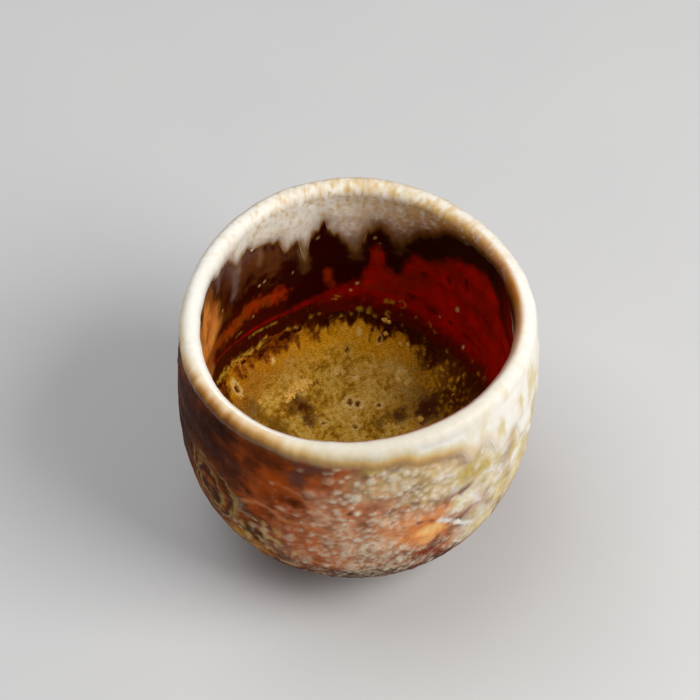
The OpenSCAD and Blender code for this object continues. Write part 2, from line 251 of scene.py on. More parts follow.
class Patch:
    """Places on the clay, flattened, with what the relief and the paint of a piece need."""

    def __init__(self, theta, along):
        theta, along = np.broadcast_arrays(theta, along)
        self.theta, self.along = theta.ravel(), along.ravel()
        self.clay = raised(self.theta, self.along, 0)
        self.z = self.clay[:, 2]
        self.turn = np.degrees(self.theta) % 360
        self.gaps = {}
        self.wobbles = {}

    def past(self, edge):
        """Distance in mm to a wavy edge: positive further along the section than it, negative before it."""
        if edge not in self.gaps:
            nearest = np.full(len(self.z), 1e9)
            for turn in np.linspace(-EDGE_SEARCH, EDGE_SEARCH, 57):
                nearest = np.minimum(nearest, np.hypot(CLAY_R * turn, self.along - edge(self.theta + turn)))
            self.gaps[edge] = np.where(self.along > edge(self.theta), nearest, -nearest)
        return self.gaps[edge]

    def flow(self, size, seed, octaves=3, stretch=6.0):
        """Noise in streaks of that width that run down the wall, stretch times as long as wide."""
        line = np.column_stack((CLAY_R * np.cos(self.theta), CLAY_R * np.sin(self.theta), self.along))
        return clouds(line, size, seed, octaves, stretch)

    def aside(self, direction):
        """Distance in mm round the wall from a direction."""
        return apart(self.turn, direction) * radians(1) * CLAY_R

    def facing(self, middle, half):
        """1 in a direction, falling smoothly to 0 at half degrees to either side."""
        return 1 - ease(0, half, np.abs(apart(self.turn, middle)))

    def wobble(self, grain):
        """Noise that roughens the edges of marks."""
        if grain not in self.wobbles:
            self.wobbles[grain] = clouds(self.clay, grain, 9, 3)
        return self.wobbles[grain]

    def spots(self, places, rough=0.35, grain=2.5):
        """Mask of rough-edged spots: (direction, height, half width, half height, strength)."""
        wobble = rough * self.wobble(grain)
        mask = np.zeros(len(self.z))
        for direction, z, half_w, half_h, strength in places:
            distance = np.hypot(self.aside(direction) / half_w, (self.z - z) / half_h) + wobble
            mask = np.maximum(mask, strength * (1 - ease(0.2, 1.3, distance)))
        return mask

    def strokes(self, lines, rough=0.3, grain=1.6):
        """Mask of soft strokes: half width, strength and then two or more (direction, height)."""
        wobble = rough * self.wobble(grain)
        mask = np.zeros(len(self.z))
        for half, strength, *knots in lines:
            for (from_turn, from_z), (to_turn, to_z) in zip(knots, knots[1:]):
                over = (to_turn - from_turn) * radians(1) * CLAY_R
                up = to_z - from_z
                x, z = self.aside(from_turn), self.z - from_z
                share = np.clip((x * over + z * up) / (over * over + up * up), 0, 1)
                distance = np.hypot(x - share * over, z - share * up) / half + wobble
                mask = np.maximum(mask, strength * (1 - ease(0.1, 1.3, distance)))
        return mask


# Meshes

def build(name, points, faces, uv, attributes):
    """Object of a mesh in metres, with its unwrap and its painted attributes."""
    mesh = bpy.data.meshes.new(name)
    mesh.from_pydata((settle(points) * MM).tolist(), [], faces)
    corners = np.empty(len(mesh.loops), int)
    mesh.loops.foreach_get("vertex_index", corners)
    layer = mesh.uv_layers.new(name="OFBake")
    layer.data.foreach_set("uv", uv(corners).ravel().astype(np.float32))
    for key, values in attributes.items():
        if values.ndim == 2:
            attribute = mesh.color_attributes.new(key, "FLOAT_COLOR", "POINT")
            colours = np.column_stack((np.clip(values, 0, 1), np.ones(len(values))))
            attribute.data.foreach_set("color", colours.ravel().astype(np.float32))
        else:
            attribute = mesh.attributes.new(key, "FLOAT", "POINT")
            attribute.data.foreach_set("value", values.astype(np.float32))
    mesh.shade_smooth()
    piece = bpy.data.objects.new(name, mesh)
    bpy.context.scene.collection.objects.link(piece)
    return piece


def ring_faces(rows, columns, start=0, loop=False):
    """Quads of a grid that closes round the cup, row by row, and in a loop from its last row to its first."""
    row, column = np.mgrid[0:rows if loop else rows - 1, 0:columns]
    below, after = (row + 1) % rows, (column + 1) % columns
    quads = np.stack((row * columns + column, row * columns + after,
                      below * columns + after, below * columns + column), -1)
    return (quads.reshape(-1, 4) + start).tolist()


def strip_uv(rows, columns, strips, back_rows):
    """Unwrap of a closed coat in level strips, with its back in a narrow band at the top."""
    front_share = 0.94
    margin = 0.01

    def uv(corners):
        quads = corners.reshape(-1, 4)
        row, column = quads // columns, quads % columns
        first = column.min(1, keepdims=True)
        wraps = (column.max(1, keepdims=True) - first) > 1
        column = np.where(wraps & (column == 0), columns, column)
        per_strip = columns // strips
        strip = np.minimum(column.min(1, keepdims=True) // per_strip, strips - 1)
        u = (column - strip * per_strip) / per_strip
        is_back = (row >= rows).any(1, keepdims=True)
        height = front_share / strips
        front_v = strip * height + height * (margin + (1 - 2 * margin) * row / (rows - 1))
        back_share = 0.1 + 0.8 * (row - rows) % (back_rows + 2) / (back_rows + 2)
        back_v = front_share + (1 - front_share) * back_share
        return np.stack((margin + (1 - 2 * margin) * u, np.where(is_back, back_v, front_v)), -1)

    return uv


def around(columns, crowd):
    """Directions of the columns, more of them to the front by the share crowd."""
    even = np.arange(columns) * tau / columns
    return even + crowd * np.cos(even)


def coat(name, theta, rows, first, last, relief, paint, strips, back_rows=16):
    """Closed coat of glaze on the clay, from the edge first(theta) along the section to last(theta)."""
    columns = len(theta)
    share = np.linspace(0, 1, rows)[:, None]
    place = Patch(theta[None], first(theta) + (last(theta) - first(theta)) * share)
    front = raised(place.theta, place.along, relief(place))
    back_share = np.linspace(1, 0, back_rows)[:, None]
    behind = Patch(theta[None], first(theta) + (last(theta) - first(theta)) * back_share)
    points = np.vstack((front, raised(behind.theta, behind.along, np.full(len(behind.z), COAT_BACK))))
    faces = ring_faces(rows + back_rows, columns, loop=True)
    hidden = np.arange(len(behind.z)) % columns
    attributes = {key: np.concatenate((values, values[hidden])) for key, values in paint(place).items()}
    return build(name, points, faces, strip_uv(rows, columns, strips, back_rows), attributes)


# Paint: colours are laid over each other by masks of 0 to 1

def lay(under, colour, mask):
    """A colour over what is under it, which may be one colour for all places."""
    return under + (colour - under) * np.clip(mask, 0, 1)[:, None]


def ramp(value, stops):
    """Colour by value through (value, colour) stops."""
    at = [stop[0] for stop in stops]
    return np.column_stack([np.interp(value, at, [stop[1][k] for stop in stops]) for k in range(3)])


def marked(place, colour, marks):
    """Lays marks over a colour, each as (tone, roughness, grain, spots or strokes)."""
    for tone, rough, grain, places in marks:
        shape = place.strokes if isinstance(places[0][2], tuple) else place.spots
        colour = lay(colour, tone, shape(places, rough, grain))
    return colour


WHITE = srgb(240, 237, 229)
CREAM = srgb(224, 212, 176)
HONEY = srgb(212, 174, 108)
STRAW = srgb(206, 162, 84)
LILAC = srgb(224, 216, 202)
GREY_LILAC = srgb(186, 168, 152)
TAN = srgb(196, 138, 68)
KHAKI = srgb(172, 146, 86)
OCHRE = srgb(184, 120, 18)
BRONZE = srgb(142, 94, 18)
UMBER = srgb(88, 44, 6)
CHESTNUT = srgb(106, 58, 24)
PLUM = srgb(102, 64, 52)
NIGHT = srgb(44, 2, 1)
RED = srgb(190, 8, 1)
DEEP_RED = srgb(146, 5, 1)
EMBER = srgb(146, 40, 3)
BURNT = srgb(152, 68, 8)
FLAME = srgb(236, 148, 66)
GOLD = srgb(218, 150, 6)
ASH = srgb(206, 158, 46)
PALE_ASH = srgb(248, 210, 132)
OLIVE = srgb(186, 160, 68)
SOOT = srgb(72, 28, 1)
RUST = srgb(168, 74, 14)
ROSE = srgb(204, 146, 110)
ORANGE = srgb(230, 138, 68)
PEACH = srgb(250, 202, 128)
MAROON = srgb(106, 50, 22)
GREY_OLIVE = srgb(200, 174, 124)
BUTTER = srgb(222, 202, 142)

# Marks on the inside wall: spots are (direction, height, half width, half height, strength) and strokes are
# (half width, strength, points)
INSIDE_MARKS = (
    # Brown veil and dark bays under the white band
    (CHESTNUT, 0.6, 2.5, (
        (122, 52, 6, 7, 0.7), (129, 54, 6, 6, 0.6), (115, 53, 3, 3, 0.5), (138, 52, 4, 6, 0.5),
    )),
    (NIGHT, 0.4, 1.6, (
        (115.6, 46, 3.2, 4.6, 0.9), (125.5, 57.6, 1.1, 1.9, 0.9), (121.8, 56.4, 0.8, 1.8, 0.8),
        (130.5, 60.2, 0.9, 1.5, 0.7),
    )),
    # Flame-coloured left wall, with its mottles and the band that runs from it
    (FLAME, 0.25, 5, (
        (169, 58, 7, 9, 1), (172, 50, 8, 9, 1), (164, 46, 6, 6, 0.9), (176, 42, 9, 7, 0.9),
        (183, 57, 8, 10, 1), (187, 47, 9, 9, 0.9), (161, 51, 7, 8, 0.85), (199, 52, 10, 11, 0.6),
        (164, 56, 5, 6, 0.8),
    )),
    (srgb(170, 84, 28), 0.7, 1.6, ((166, 53, 3, 5, 0.7), (171, 46, 4, 4, 0.6), (160, 57, 3, 4, 0.6))),
    (UMBER, 0.7, 1.6, ((151.8, 52.4, 2.6, 3.6, 0.7), (147, 46.6, 2.6, 3.4, 0.7), (149, 58, 2.2, 3, 0.5))),
    (BURNT, 0.6, 1.6, (
        (2.0, 0.65, (170, 41), (159, 42.5), (152, 40), (145, 39.5), (134.5, 40.5), (126, 39.6)),
    )),
    (EMBER, 0.6, 1.6, (
        (132.5, 40.3, 3.4, 2.4, 1), (121, 39.4, 3.4, 2.6, 1), (127, 40, 3, 1.2, 0.8),
        (146, 40, 4, 1.6, 0.5),
    )),
    # Red line over the pool, red spot and dark spots on the red wall
    (DEEP_RED, 0.35, 1.6, (
        (0.5, 0.85, (160.2, 37.4), (143, 34.2), (130.5, 33.3), (120.2, 32.7), (115, 32.8)),
        (1.0, 1, (115, 32.8), (104.8, 34), (97.8, 35.6), (93, 36.4)),
    )),
    (EMBER, 0.35, 2.5, (
        (100.2, 40.8, 1.6, 2.8, 0.9), (98.6, 37.8, 1.4, 1.4, 0.7), (81.5, 47, 1.2, 3.4, 0.5),
        (82, 36.8, 4, 1.6, 0.6),
    )),
    (NIGHT, 0.5, 1.6, (
        (61.8, 45.1, 1.6, 1.4, 0.6), (51.2, 47.7, 1.1, 1.3, 0.95), (42.5, 50.9, 1.1, 1.5, 0.9),
        (41.8, 48.6, 0.9, 0.9, 0.6), (66.5, 36.6, 2.2, 1.3, 0.7), (58, 35, 2.2, 1.2, 0.6),
        (48.2, 34.2, 0.7, 0.7, 0.9), (55.2, 44.3, 1.6, 1, 0.4), (35, 34, 6, 0.8, 0.6),
    )),
)
OVER_WHITE = (
    # Runs that hang from the white band, and the slits between them
    (UMBER, 0.3, 1.6, ((0.5, 0.6, (111.8, 55), (111.3, 51.5)), (0.7, 0.6, (107.7, 53), (108, 44)))),
    (srgb(104, 66, 28), 0.5, 1.6, (
        (1.7, 0.7, (109.7, 51), (108.8, 44)), (2.4, 0.6, (89.6, 53), (89.6, 46.5)),
        (2.6, 0.55, (73, 56), (73, 51)),
    )),
    (srgb(150, 122, 84), 0.5, 1.6, ((1.3, 0.6, (110, 54), (109.3, 49)),)),
    (srgb(126, 102, 94), 0.3, 1.6, (
        (2.0, 0.65, (139.8, 60.5), (141.2, 55), (142.8, 50)), (1.4, 0.5, (152.8, 65.5), (154, 60.5)),
    )),
    (srgb(170, 126, 84), 0.3, 1.6, (
        (1.6, 0.3, (127.6, 58), (128.2, 54)), (1.2, 0.3, (138.5, 62), (139, 57)),
    )),
    # Painted highlight: a small white glint on the glossy glaze
    (WHITE, 0.3, 1.6, ((131.8, 60.4, 0.45, 0.5, 1),)),
)
# Pale specks on the inside wall
WALL_SPECKS = (
    (103.8, 54, 0.6, 0.5, 0.7), (82.5, 53.3, 0.4, 0.4, 0.8), (80.5, 51.5, 0.4, 0.4, 0.8),
    (89.2, 37.6, 0.5, 0.5, 0.9), (91.5, 35.4, 0.5, 0.7, 0.9), (46, 39.6, 0.6, 0.9, 1),
    (38.8, 30.9, 0.5, 0.6, 1), (53.8, 34, 0.3, 0.3, 0.8), (126.5, 46.3, 0.7, 0.5, 1),
    (129, 46, 0.4, 0.4, 0.9), (114, 44.5, 0.35, 0.5, 0.9), (150.5, 49.7, 0.5, 0.4, 0.9),
    (160, 47, 0.6, 0.7, 0.8), (133.5, 37.6, 0.4, 0.4, 0.8),
)
# Dabs of ash round the pool, which lie on the liner and on the pool
SHORE_SPOTS = (
    (76, 29.7, 1.2, 1.0, 1), (108.2, 29.7, 1.0, 0.6, 0.9), (104.8, 29.9, 1.0, 0.5, 0.9),
    (100.2, 28.6, 0.8, 0.6, 0.8), (95.8, 28.5, 0.8, 0.6, 0.8), (91.5, 29, 0.8, 0.6, 0.7),
    (87.5, 30.3, 1.3, 0.7, 0.9), (83.8, 30, 1.0, 0.9, 0.9), (81.8, 28.7, 0.9, 0.8, 0.9),
    (70.8, 30.2, 0.5, 0.6, 0.7), (119.5, 28.5, 0.9, 0.6, 0.8), (115.5, 28.2, 0.9, 0.6, 0.8),
    (64, 31, 0.5, 0.5, 0.6), (46, 27, 0.8, 0.6, 0.7), (32, 30, 0.6, 0.5, 0.7), (26, 29, 0.7, 0.5, 0.7),
)
SHORE_STROKES = (
    (0.9, 1, (163.2, 32.3), (154, 31.2)), (0.9, 1, (151, 30.7), (145, 29.8), (139.3, 29)),
    (0.6, 1, (135.5, 28.7), (130, 29.5)), (0.3, 0.9, (144.8, 36.2), (140.8, 36)),
    (0.3, 0.7, (137.8, 32.5), (123.5, 31.6)), (0.35, 0.9, (99.2, 33.2), (97.4, 33)),
    (0.35, 0.9, (97.6, 33.8), (96, 33.4)), (0.6, 1, (77.6, 33), (74.4, 32.9)),
    (0.3, 0.9, (72, 33.6), (70.5, 34.1), (69.2, 33.3), (69.4, 32.3), (70.8, 32.1)),
    (0.4, 0.9, (57.5, 31), (54, 29.4)),
    (0.3, 0.8, (22, 30.6), (20.4, 30), (21, 28.8), (22.4, 29.4), (22, 30.6)),
)


def shore_dabs(place):
    broken = ease(-0.7, 0.3, clouds(place.clay, 0.9, 46, 2))
    return broken * np.maximum(place.spots(SHORE_SPOTS, 0.7, 1.6), place.strokes(SHORE_STROKES, 0.7))


def far_mottles(place):
    """Fine mottles of the white glaze, and how much they show, which is most at the back; on the back of the
    lip they also serve as painted shade, and their near-white ones on the inner wall as painted light.
    """
    grain = clouds(place.clay, 1.1, 26, 4) + 0.5 * clouds(place.clay, 3, 27, 2)
    return grain, np.sqrt(place.facing(86, 80))


def white_mix(place, colour):
    """White glaze over the inside colours, fading through lilac, tan and umber at its lower edge."""
    depth = -place.past(white_in)
    streak = place.flow(1.5, 21, 3, 5)
    mottle = place.flow(1.3, 23, 3, 1.8)
    soft = depth + 0.6 * streak + 0.3 * place.flow(0.9, 22, 2, 14)
    share = 1 - place.along / white_in(place.theta) + 0.06 * streak
    speck = place.flow(1.7, 24, 3, 1.9) + 0.3 * mottle
    sided, back = np.sqrt(place.facing(38, 68)), place.facing(85, 70)
    # The top stops of the milky ramp are whiter than the glaze's white: painted light on the upper inside
    # wall, so it reads as bright as the lit lip
    milky = ramp(soft, ((-0.8, NIGHT), (0, UMBER), (0.6, srgb(140, 98, 52)), (1.3, GREY_LILAC), (2.6, LILAC),
                        (4.5, srgb(240, 236, 222)), (8, srgb(250, 248, 236))))
    tanned = ramp(share, ((-0.12, NIGHT), (0.03, srgb(74, 30, 2)), (0.15, srgb(106, 50, 4)),
                          (0.35, srgb(156, 90, 14)), (0.6, srgb(204, 142, 54)), (0.85, srgb(222, 178, 98)),
                          (1, CREAM)))
    milky = lay(milky, srgb(168, 116, 54), 0.75 * place.facing(70, 40) * (1 - ease(0.5, 5, soft)))
    crisp = ramp(soft, ((-1.4, PLUM * 0.7), (0, PLUM), (1.2, LILAC), (2.4, WHITE)))
    glaze = lay(lay(milky, tanned, sided), crisp, place.facing(172, 36))
    glaze = lay(glaze, STRAW, (0.1 + 0.5 * back) * ease(0.1, 0.9, speck) * ease(1.5, 5, depth))
    glaze = lay(glaze, WHITE, 0.6 * (1 - 0.8 * sided) * ease(0.2, 0.8, -speck) * ease(1.5, 4, depth))
    grain, far = far_mottles(place)
    far = far * ease(0.8, 3.5, depth)
    # Straw and near-white mottles at the back: the glaze's own speckle, the near-white ones brighter than its
    # white as painted light
    glaze = lay(glaze, STRAW, 0.5 * far * ease(-0.1, 1.0, grain))
    glaze = lay(glaze, srgb(252, 250, 240), 0.45 * far * ease(-0.1, 0.9, -grain))
    return lay(colour, glaze, ease(-1.3, 0.6, soft))


def inside_tone(place):
    """Colour of the inside wall from the lip to the pool, the same on each coat that shows there."""
    drop = place.past(white_in)
    fine = clouds(place.clay, 1.4, 44, 3)
    mottle = clouds(place.clay, 6, 43, 4)
    rings = clouds(place.clay, 6, 45, 3, 0.16)
    colour = lay(RED, DEEP_RED, ease(-1.0, 1.0, mottle + 0.5 * rings))
    colour = lay(colour, EMBER, 0.2 * ease(0.25, 0.9, rings))
    colour = lay(colour, EMBER, 0.45 * place.facing(74, 34) * ease(30, 38, place.z) * ease(-0.8, 0.6, mottle))
    left = ease(96, 110, place.turn) * (1 - ease(250, 300, place.turn))
    colour = lay(colour, srgb(62, 8, 2), left)
    dark = 1 - ease(-1.6, 1.8, place.past(dark_in) + 0.7 * fine)
    colour = lay(colour, NIGHT, dark * (1 - 0.7 * place.facing(0, 26)))
    veil = ramp(drop, ((0, srgb(128, 96, 84)), (2, PLUM), (5, srgb(76, 38, 18)), (9, NIGHT)))
    colour = lay(colour, veil, place.facing(140, 34) * (1 - ease(5, 10, drop)))
    colour = marked(place, colour, INSIDE_MARKS)
    shore = 1 - ease(1.0, 6.5, 1.7 * fine + 1.5 * mottle - place.past(pool_rim))
    colour = lay(colour, srgb(58, 14, 2), 0.85 * shore)
    colour = lay(colour, srgb(112, 40, 2), 0.7 * shore * ease(0.3, 0.9, fine + 0.3 * mottle))
    colour = lay(colour, ASH * 0.8, 0.85 * shore_dabs(place))
    colour = lay(colour, PALE_ASH * 0.8, 0.8 * place.spots(WALL_SPECKS, 0.5, 1.6))
    return marked(place, white_mix(place, colour), OVER_WHITE), shore


# Marks on the outside wall, given as on the inside wall
OUTSIDE_ZONES = (
    # Sooty left side, rosy front, rusty patches, and the grey field in front on the right
    (srgb(62, 22, 2), 0.3, 5, (
        (212, 58, 22, 14, 1), (198, 46, 20, 18, 0.95), (184, 60, 18, 12, 0.8), (226, 64, 12, 6, 1),
        (165, 44, 18, 16, 0.7),
    )),
    (srgb(124, 68, 10), 0.3, 5, ((214, 40, 9, 12, 0.9), (222, 30, 8, 7, 0.9), (232, 30, 8, 6, 0.8))),
    (ROSE, 0.3, 5, (
        (272, 42, 16, 22, 1), (288, 40, 12, 16, 0.9), (262, 50, 8, 10, 0.9), (278, 54, 10, 9, 0.8),
        (256, 34, 9, 12, 0.8),
    )),
    (RUST, 0.35, 5, (
        (243, 56.5, 9, 9.5, 1), (249, 52, 6.5, 7, 0.95), (238, 50, 6, 6, 0.9), (236, 61, 6, 4.5, 0.8),
        (262, 61, 7, 4.5, 0.7), (130, 36, 20, 16, 0.9), (62, 34, 18, 15, 0.9), (100, 24, 22, 10, 0.8),
    )),
    (srgb(196, 98, 40), 0.4, 5, ((254, 37, 9, 9, 0.7), (260, 28, 10, 7, 0.7), (268, 50, 7, 5, 0.5))),
    (GREY_OLIVE, 0.35, 5, ((287, 60, 12, 6.5, 0.9), (294, 54, 8, 7, 0.85), (274, 58.5, 7, 5, 0.6))),
    # Dark belt low in front
    (MAROON * 0.6, 0.4, 5, ((271, 21, 20, 6, 1), (250, 18, 18, 6, 0.8), (300, 19, 14, 5.5, 0.9))),
)
# Cream patches, most of them on the right
CREAM_ZONES = (
    (303, 54, 6, 9, 0.8), (318, 55, 13, 16, 0.95), (336, 46, 18, 26, 1), (306, 43, 6, 5.5, 0.95),
    (316, 30, 9, 11, 0.9), (354, 44, 18, 22, 0.9), (322, 41, 11, 13, 0.9), (20, 46, 16, 18, 0.7),
    (98, 50, 18, 13, 0.75), (150, 58, 14, 8, 0.6),
)
# Oval scar that a drip left at the left edge: its middle, half sizes, and how far its rings spread one way
SCAR = SimpleNamespace(direction=217, z=41, half_w=7.7, half_h=9.2, heading=radians(-45), spread=0.35)
SCAR_RINGS = (
    (0, OCHRE), (0.18, BURNT), (0.28, SOOT), (0.42, SOOT), (0.53, KHAKI), (0.62, BURNT), (0.72, SOOT),
    (0.82, SOOT), (0.93, KHAKI * 1.2), (1.02, BURNT * 0.6), (1.1, BURNT * 0.6),
)
# Its two raised rings: where they lie, and their half width and height
SCAR_RIDGES, RIDGE_HALF, RIDGE_H = (0.56, 0.93), 0.08, 0.12


def scar_reach(place):
    """Distance from the middle of the drip scar, and height over it, as shares of its half size."""
    x, y = place.aside(SCAR.direction) / SCAR.half_w, (place.z - SCAR.z) / SCAR.half_h
    away = np.hypot(x, y) + 0.12 * place.wobble(2.5) + 0.22 * place.wobble(5)
    return away / (1 + SCAR.spread * np.clip(np.cos(np.arctan2(y, x) - SCAR.heading), 0, 1)), y


OUTSIDE_MARKS = (
    # Dark spots on the rust, plum spots under the lip and paler freckles
    (SOOT, 0.5, 2.5, (
        (237.2, 60, 2.8, 3, 0.75), (235.3, 50, 2.6, 2.6, 0.95), (250.5, 51.9, 2.8, 2.2, 0.9),
        (230, 57, 3, 5, 0.7), (241, 63.5, 6, 2, 0.7),
    )),
    (PLUM, 0.5, 1.6, (
        (252.2, 60.3, 2.4, 3.4, 0.8), (252.8, 65, 2.2, 1.4, 0.7), (257, 64, 4, 1.8, 0.8),
        (282.2, 63.4, 2.2, 1, 0.6),
    )),
    (MAROON, 0.5, 1.6, (
        (273, 45.3, 1.7, 1.5, 0.7), (268.5, 50, 0.9, 0.8, 0.8), (288.8, 50.3, 1.5, 1, 0.7),
        (262, 44, 2, 1.2, 0.4), (280, 49, 2, 1.4, 0.4),
    )),
    # Ochre and honey flecks under the drip scar
    (UMBER * 0.8, 0.8, 2.5, ((236, 30, 5, 3, 0.6), (244, 25, 6, 3, 0.6), (229, 24, 4, 4, 0.5))),
    (OCHRE, 0.4, 2.5, (
        (229, 28.2, 3, 2.4, 0.9), (236.2, 27.1, 2.4, 2, 0.9), (238, 24.1, 2.6, 1.6, 0.9),
        (231, 21, 4.4, 3, 0.8), (224, 24, 5, 4, 0.8),
    )),
    (SOOT * 0.6, 0.6, 1.6, ((0.8, 0.7, (233.2, 32.9), (236.5, 33.4), (239.5, 33.6)),)),
    (srgb(156, 134, 106), 0.5, 1.6, ((232, 42.5, 1.8, 2.2, 0.6), (234.2, 39.2, 2, 1.6, 0.6))),
    (UMBER, 0.5, 1.6, ((244.3, 28.6, 3.4, 2.2, 0.7), (225.8, 29.4, 2.4, 1.6, 0.5))),
    (HONEY, 0.5, 1.6, (
        (240, 35.4, 1.5, 1.4, 0.9), (242, 34, 1.4, 1.2, 0.85), (245, 37.2, 1.2, 1.6, 0.8),
        (244.5, 33.4, 1.4, 1.2, 0.85), (238, 31.1, 1.3, 1.3, 0.8), (232.8, 29.1, 1.1, 1.6, 0.85),
        (247, 21.9, 2.6, 1.4, 0.8), (241, 28, 1.4, 1.4, 0.6), (251, 30.4, 1.4, 1.4, 0.6),
        (231, 33.6, 1.2, 1.8, 0.8), (235.5, 35.8, 1.0, 1.4, 0.7), (227.5, 26, 1.2, 1.6, 0.7),
        (234, 24.6, 1.4, 1.2, 0.7),
    )),
    (HONEY, 0.6, 1.6, ((237, 38.9, 1.2, 0.8, 0.7), (240.4, 38.8, 0.9, 1.4, 0.7))),
    # Pale arcs across the front
    (srgb(206, 128, 78), 0.4, 1.6, (
        (0.9, 0.85, (233.4, 44.4), (238.2, 46.4), (241.8, 46.4), (244.8, 45.3), (248, 43.6),
         (253.5, 43.8), (260, 43)),
        (0.6, 0.5, (248.8, 56.7), (252.8, 54.8), (256.4, 51)),
        (0.6, 0.7, (250.8, 31.8), (253.3, 29.8), (255.2, 28.2), (261, 26)),
    )),
    # Glow on the right with its marks
    (ORANGE, 0.35, 2.5, (
        (292, 38.6, 7, 6.5, 1), (284, 41, 6, 5, 0.5), (286.5, 43.5, 4, 3, 0.5), (298, 44, 3.4, 2.4, 0.6),
    )),
    (PEACH, 0.3, 2.5, ((294.3, 38, 4, 2.6, 1), (293.2, 34.4, 2.6, 1.6, 0.5))),
    (srgb(128, 50, 18), 0.5, 2.5, (
        (294, 28.6, 4.4, 2.6, 0.9), (300, 24.4, 4, 2.2, 0.8), (298, 30.4, 3, 1.4, 0.6),
    )),
    (BUTTER, 0.5, 2.5, ((316, 27, 6, 5, 0.6), (324, 34.8, 4, 5, 0.7), (334, 34, 5, 8, 0.6))),
    # Olive drip, and the line under the lip, which is the tan of the thinning glaze with painted shadow under
    # its rolled edge
    (OLIVE, 0.4, 2.5, (
        (306.4, 53, 3, 3.2, 0.8), (313, 51.6, 2.8, 2.8, 0.75), (310, 57, 2.6, 3, 0.6),
        (320, 50, 1.6, 3.6, 0.5), (328, 47, 2, 3.6, 0.5), (338, 41, 2.4, 4.4, 0.5), (348, 43, 2.6, 5, 0.5),
        (95, 46, 3, 6, 0.6), (30, 44, 3, 8, 0.6), (274.5, 64, 2.6, 1.2, 0.7),
    )),
    (srgb(166, 118, 66), 0.4, 1.6, (
        (0.8, 0.8, (280, 64.6), (284, 64.6), (290.2, 62.6), (296, 61.8), (303, 61.8)),
    )),
    # Soft dark marks and the white feather beside the glow
    (srgb(120, 74, 58), 0.5, 1.6, (
        (1.2, 0.85, (305.2, 46.9), (306.8, 47.9)), (1.0, 0.9, (297.4, 34), (294.4, 30.6)),
        (0.6, 0.8, (290.2, 42.6), (292.8, 42.4), (295, 41.4)), (0.9, 0.6, (299.8, 44.8), (300.2, 45.6)),
    )),
    (srgb(152, 124, 112), 0.4, 1.6, (
        (0.8, 0.7, (304.6, 38), (308, 38.6)), (0.8, 0.6, (301, 39.6), (302, 39.2)),
        (0.9, 0.5, (314.8, 39.6), (315.8, 41.6)),
    )),
    (WHITE, 0.7, 1.6, (
        (0.9, 0.9, (297.2, 40.8), (303.2, 36.9), (310.4, 31.6)), (0.45, 0.7, (304.6, 27.4), (308.6, 24)),
    )),
)
BIG_BEADS = (
    # direction, height, radius and how pale each is
    (263.2, 54.2, 1.0, 0.8), (260.2, 51.9, 0.8, 0.7), (270, 55.5, 1.8, 0.9), (266.8, 53.9, 1.1, 0.7),
    (274.8, 60.6, 1.3, 0.8), (278.5, 62.9, 1.1, 0.8), (281.3, 60.6, 1.5, 0.85), (285.8, 56.8, 1.5, 1),
    (286, 61.3, 1.2, 0.8), (270.5, 50.1, 1.0, 0.8), (266.8, 45.8, 0.8, 0.8), (266.3, 47.7, 0.8, 0.8),
    (278.4, 45.2, 1.3, 0.8), (275.5, 47, 0.8, 0.7), (272.2, 36, 0.9, 0.8), (273.8, 32.9, 0.8, 0.8),
    (266.5, 33.4, 0.7, 0.7), (279.2, 38.5, 0.8, 0.8), (282.5, 36.6, 0.8, 0.8), (280.5, 24.5, 0.9, 0.9),
    (285.5, 22.5, 0.8, 0.8), (284.4, 28.7, 1.3, 0.8), (289.5, 24.5, 1.0, 0.9), (297.2, 20.6, 0.9, 0.8),
    (303, 24.7, 1.0, 0.9), (247, 48.5, 1.2, 0.8), (244.3, 56.7, 0.8, 0.5), (260.8, 63.6, 1.0, 0.6),
    (253, 63.5, 0.9, 0.6), (256, 56, 1.5, 0.4), (262, 61.2, 1.7, 0.3), (285, 53.2, 1.7, 0.4),
    (296, 56, 1.5, 0.6), (259, 46.5, 1.4, 0.4), (293, 46.2, 1.3, 0.4), (249, 37.1, 1.5, 0.5),
    (262, 38.5, 1.5, 0.5), (276, 35.7, 1.3, 0.6), (288, 37.8, 1.3, 0.3), (240, 30.8, 1.7, 0.4),
    (254, 28.7, 1.5, 0.5), (268, 27.3, 1.5, 0.5), (300, 30.8, 1.3, 0.5), (33, 42, 1.5, 0.6),
    (56, 33.6, 1.7, 0.6), (74, 44.8, 1.5, 0.6), (104, 39.9, 1.9, 0.7), (128, 47.6, 1.5, 0.6),
    (146, 35.7, 1.7, 0.6), (165, 43.4, 1.5, 0.6),
)
BEAD_FIELDS = (
    # direction, height, half turn, half height, share of places filled, smallest and largest radius, paleness
    (285, 57, 24, 10, 0.90, 0.7, 1.1, 1.0),
    (281, 35, 30, 19, 1.00, 0.6, 0.95, 1.0),
    (238, 27, 18, 10, 0.85, 0.5, 1.1, 1.0),
    (40, 36, 90, 22, 0.40, 0.5, 1.1, 0.5),
    (120, 40, 66, 26, 0.45, 0.5, 1.3, 0.5),
)
# Beads: their lean, length by width and height by radius, and the pitch and top of their scatter
BEAD_LEAN, BEAD_LENGTH, BEAD_H = radians(50), 1.08, 0.22
BEAD_PITCH, BEADS_TOP_Z = 1.3, 66.0
# Glow on the right, where no beads are scattered
GLOW = SimpleNamespace(direction=292, z=38, half_turn=8, half_h=6)


def bead_field(turn, z, size, tint):
    """Share of the places near a place that hold a bead, and the radius and paleness of a bead there."""
    best = (0, 0, 0)
    for direction, field_z, half, half_z, full, small, large, pale in BEAD_FIELDS:
        away = abs(apart(turn, direction))
        share = full * max(0, 1 - away / half) ** 0.6 * max(0, 1 - abs(z - field_z) / half_z) ** 0.6
        if share > best[0]:
            radius = small + (large - small) * size ** 2
            best = (share, radius, pale * (0.25 + 0.6 * tint) * ease(8, 30, z))
    return best


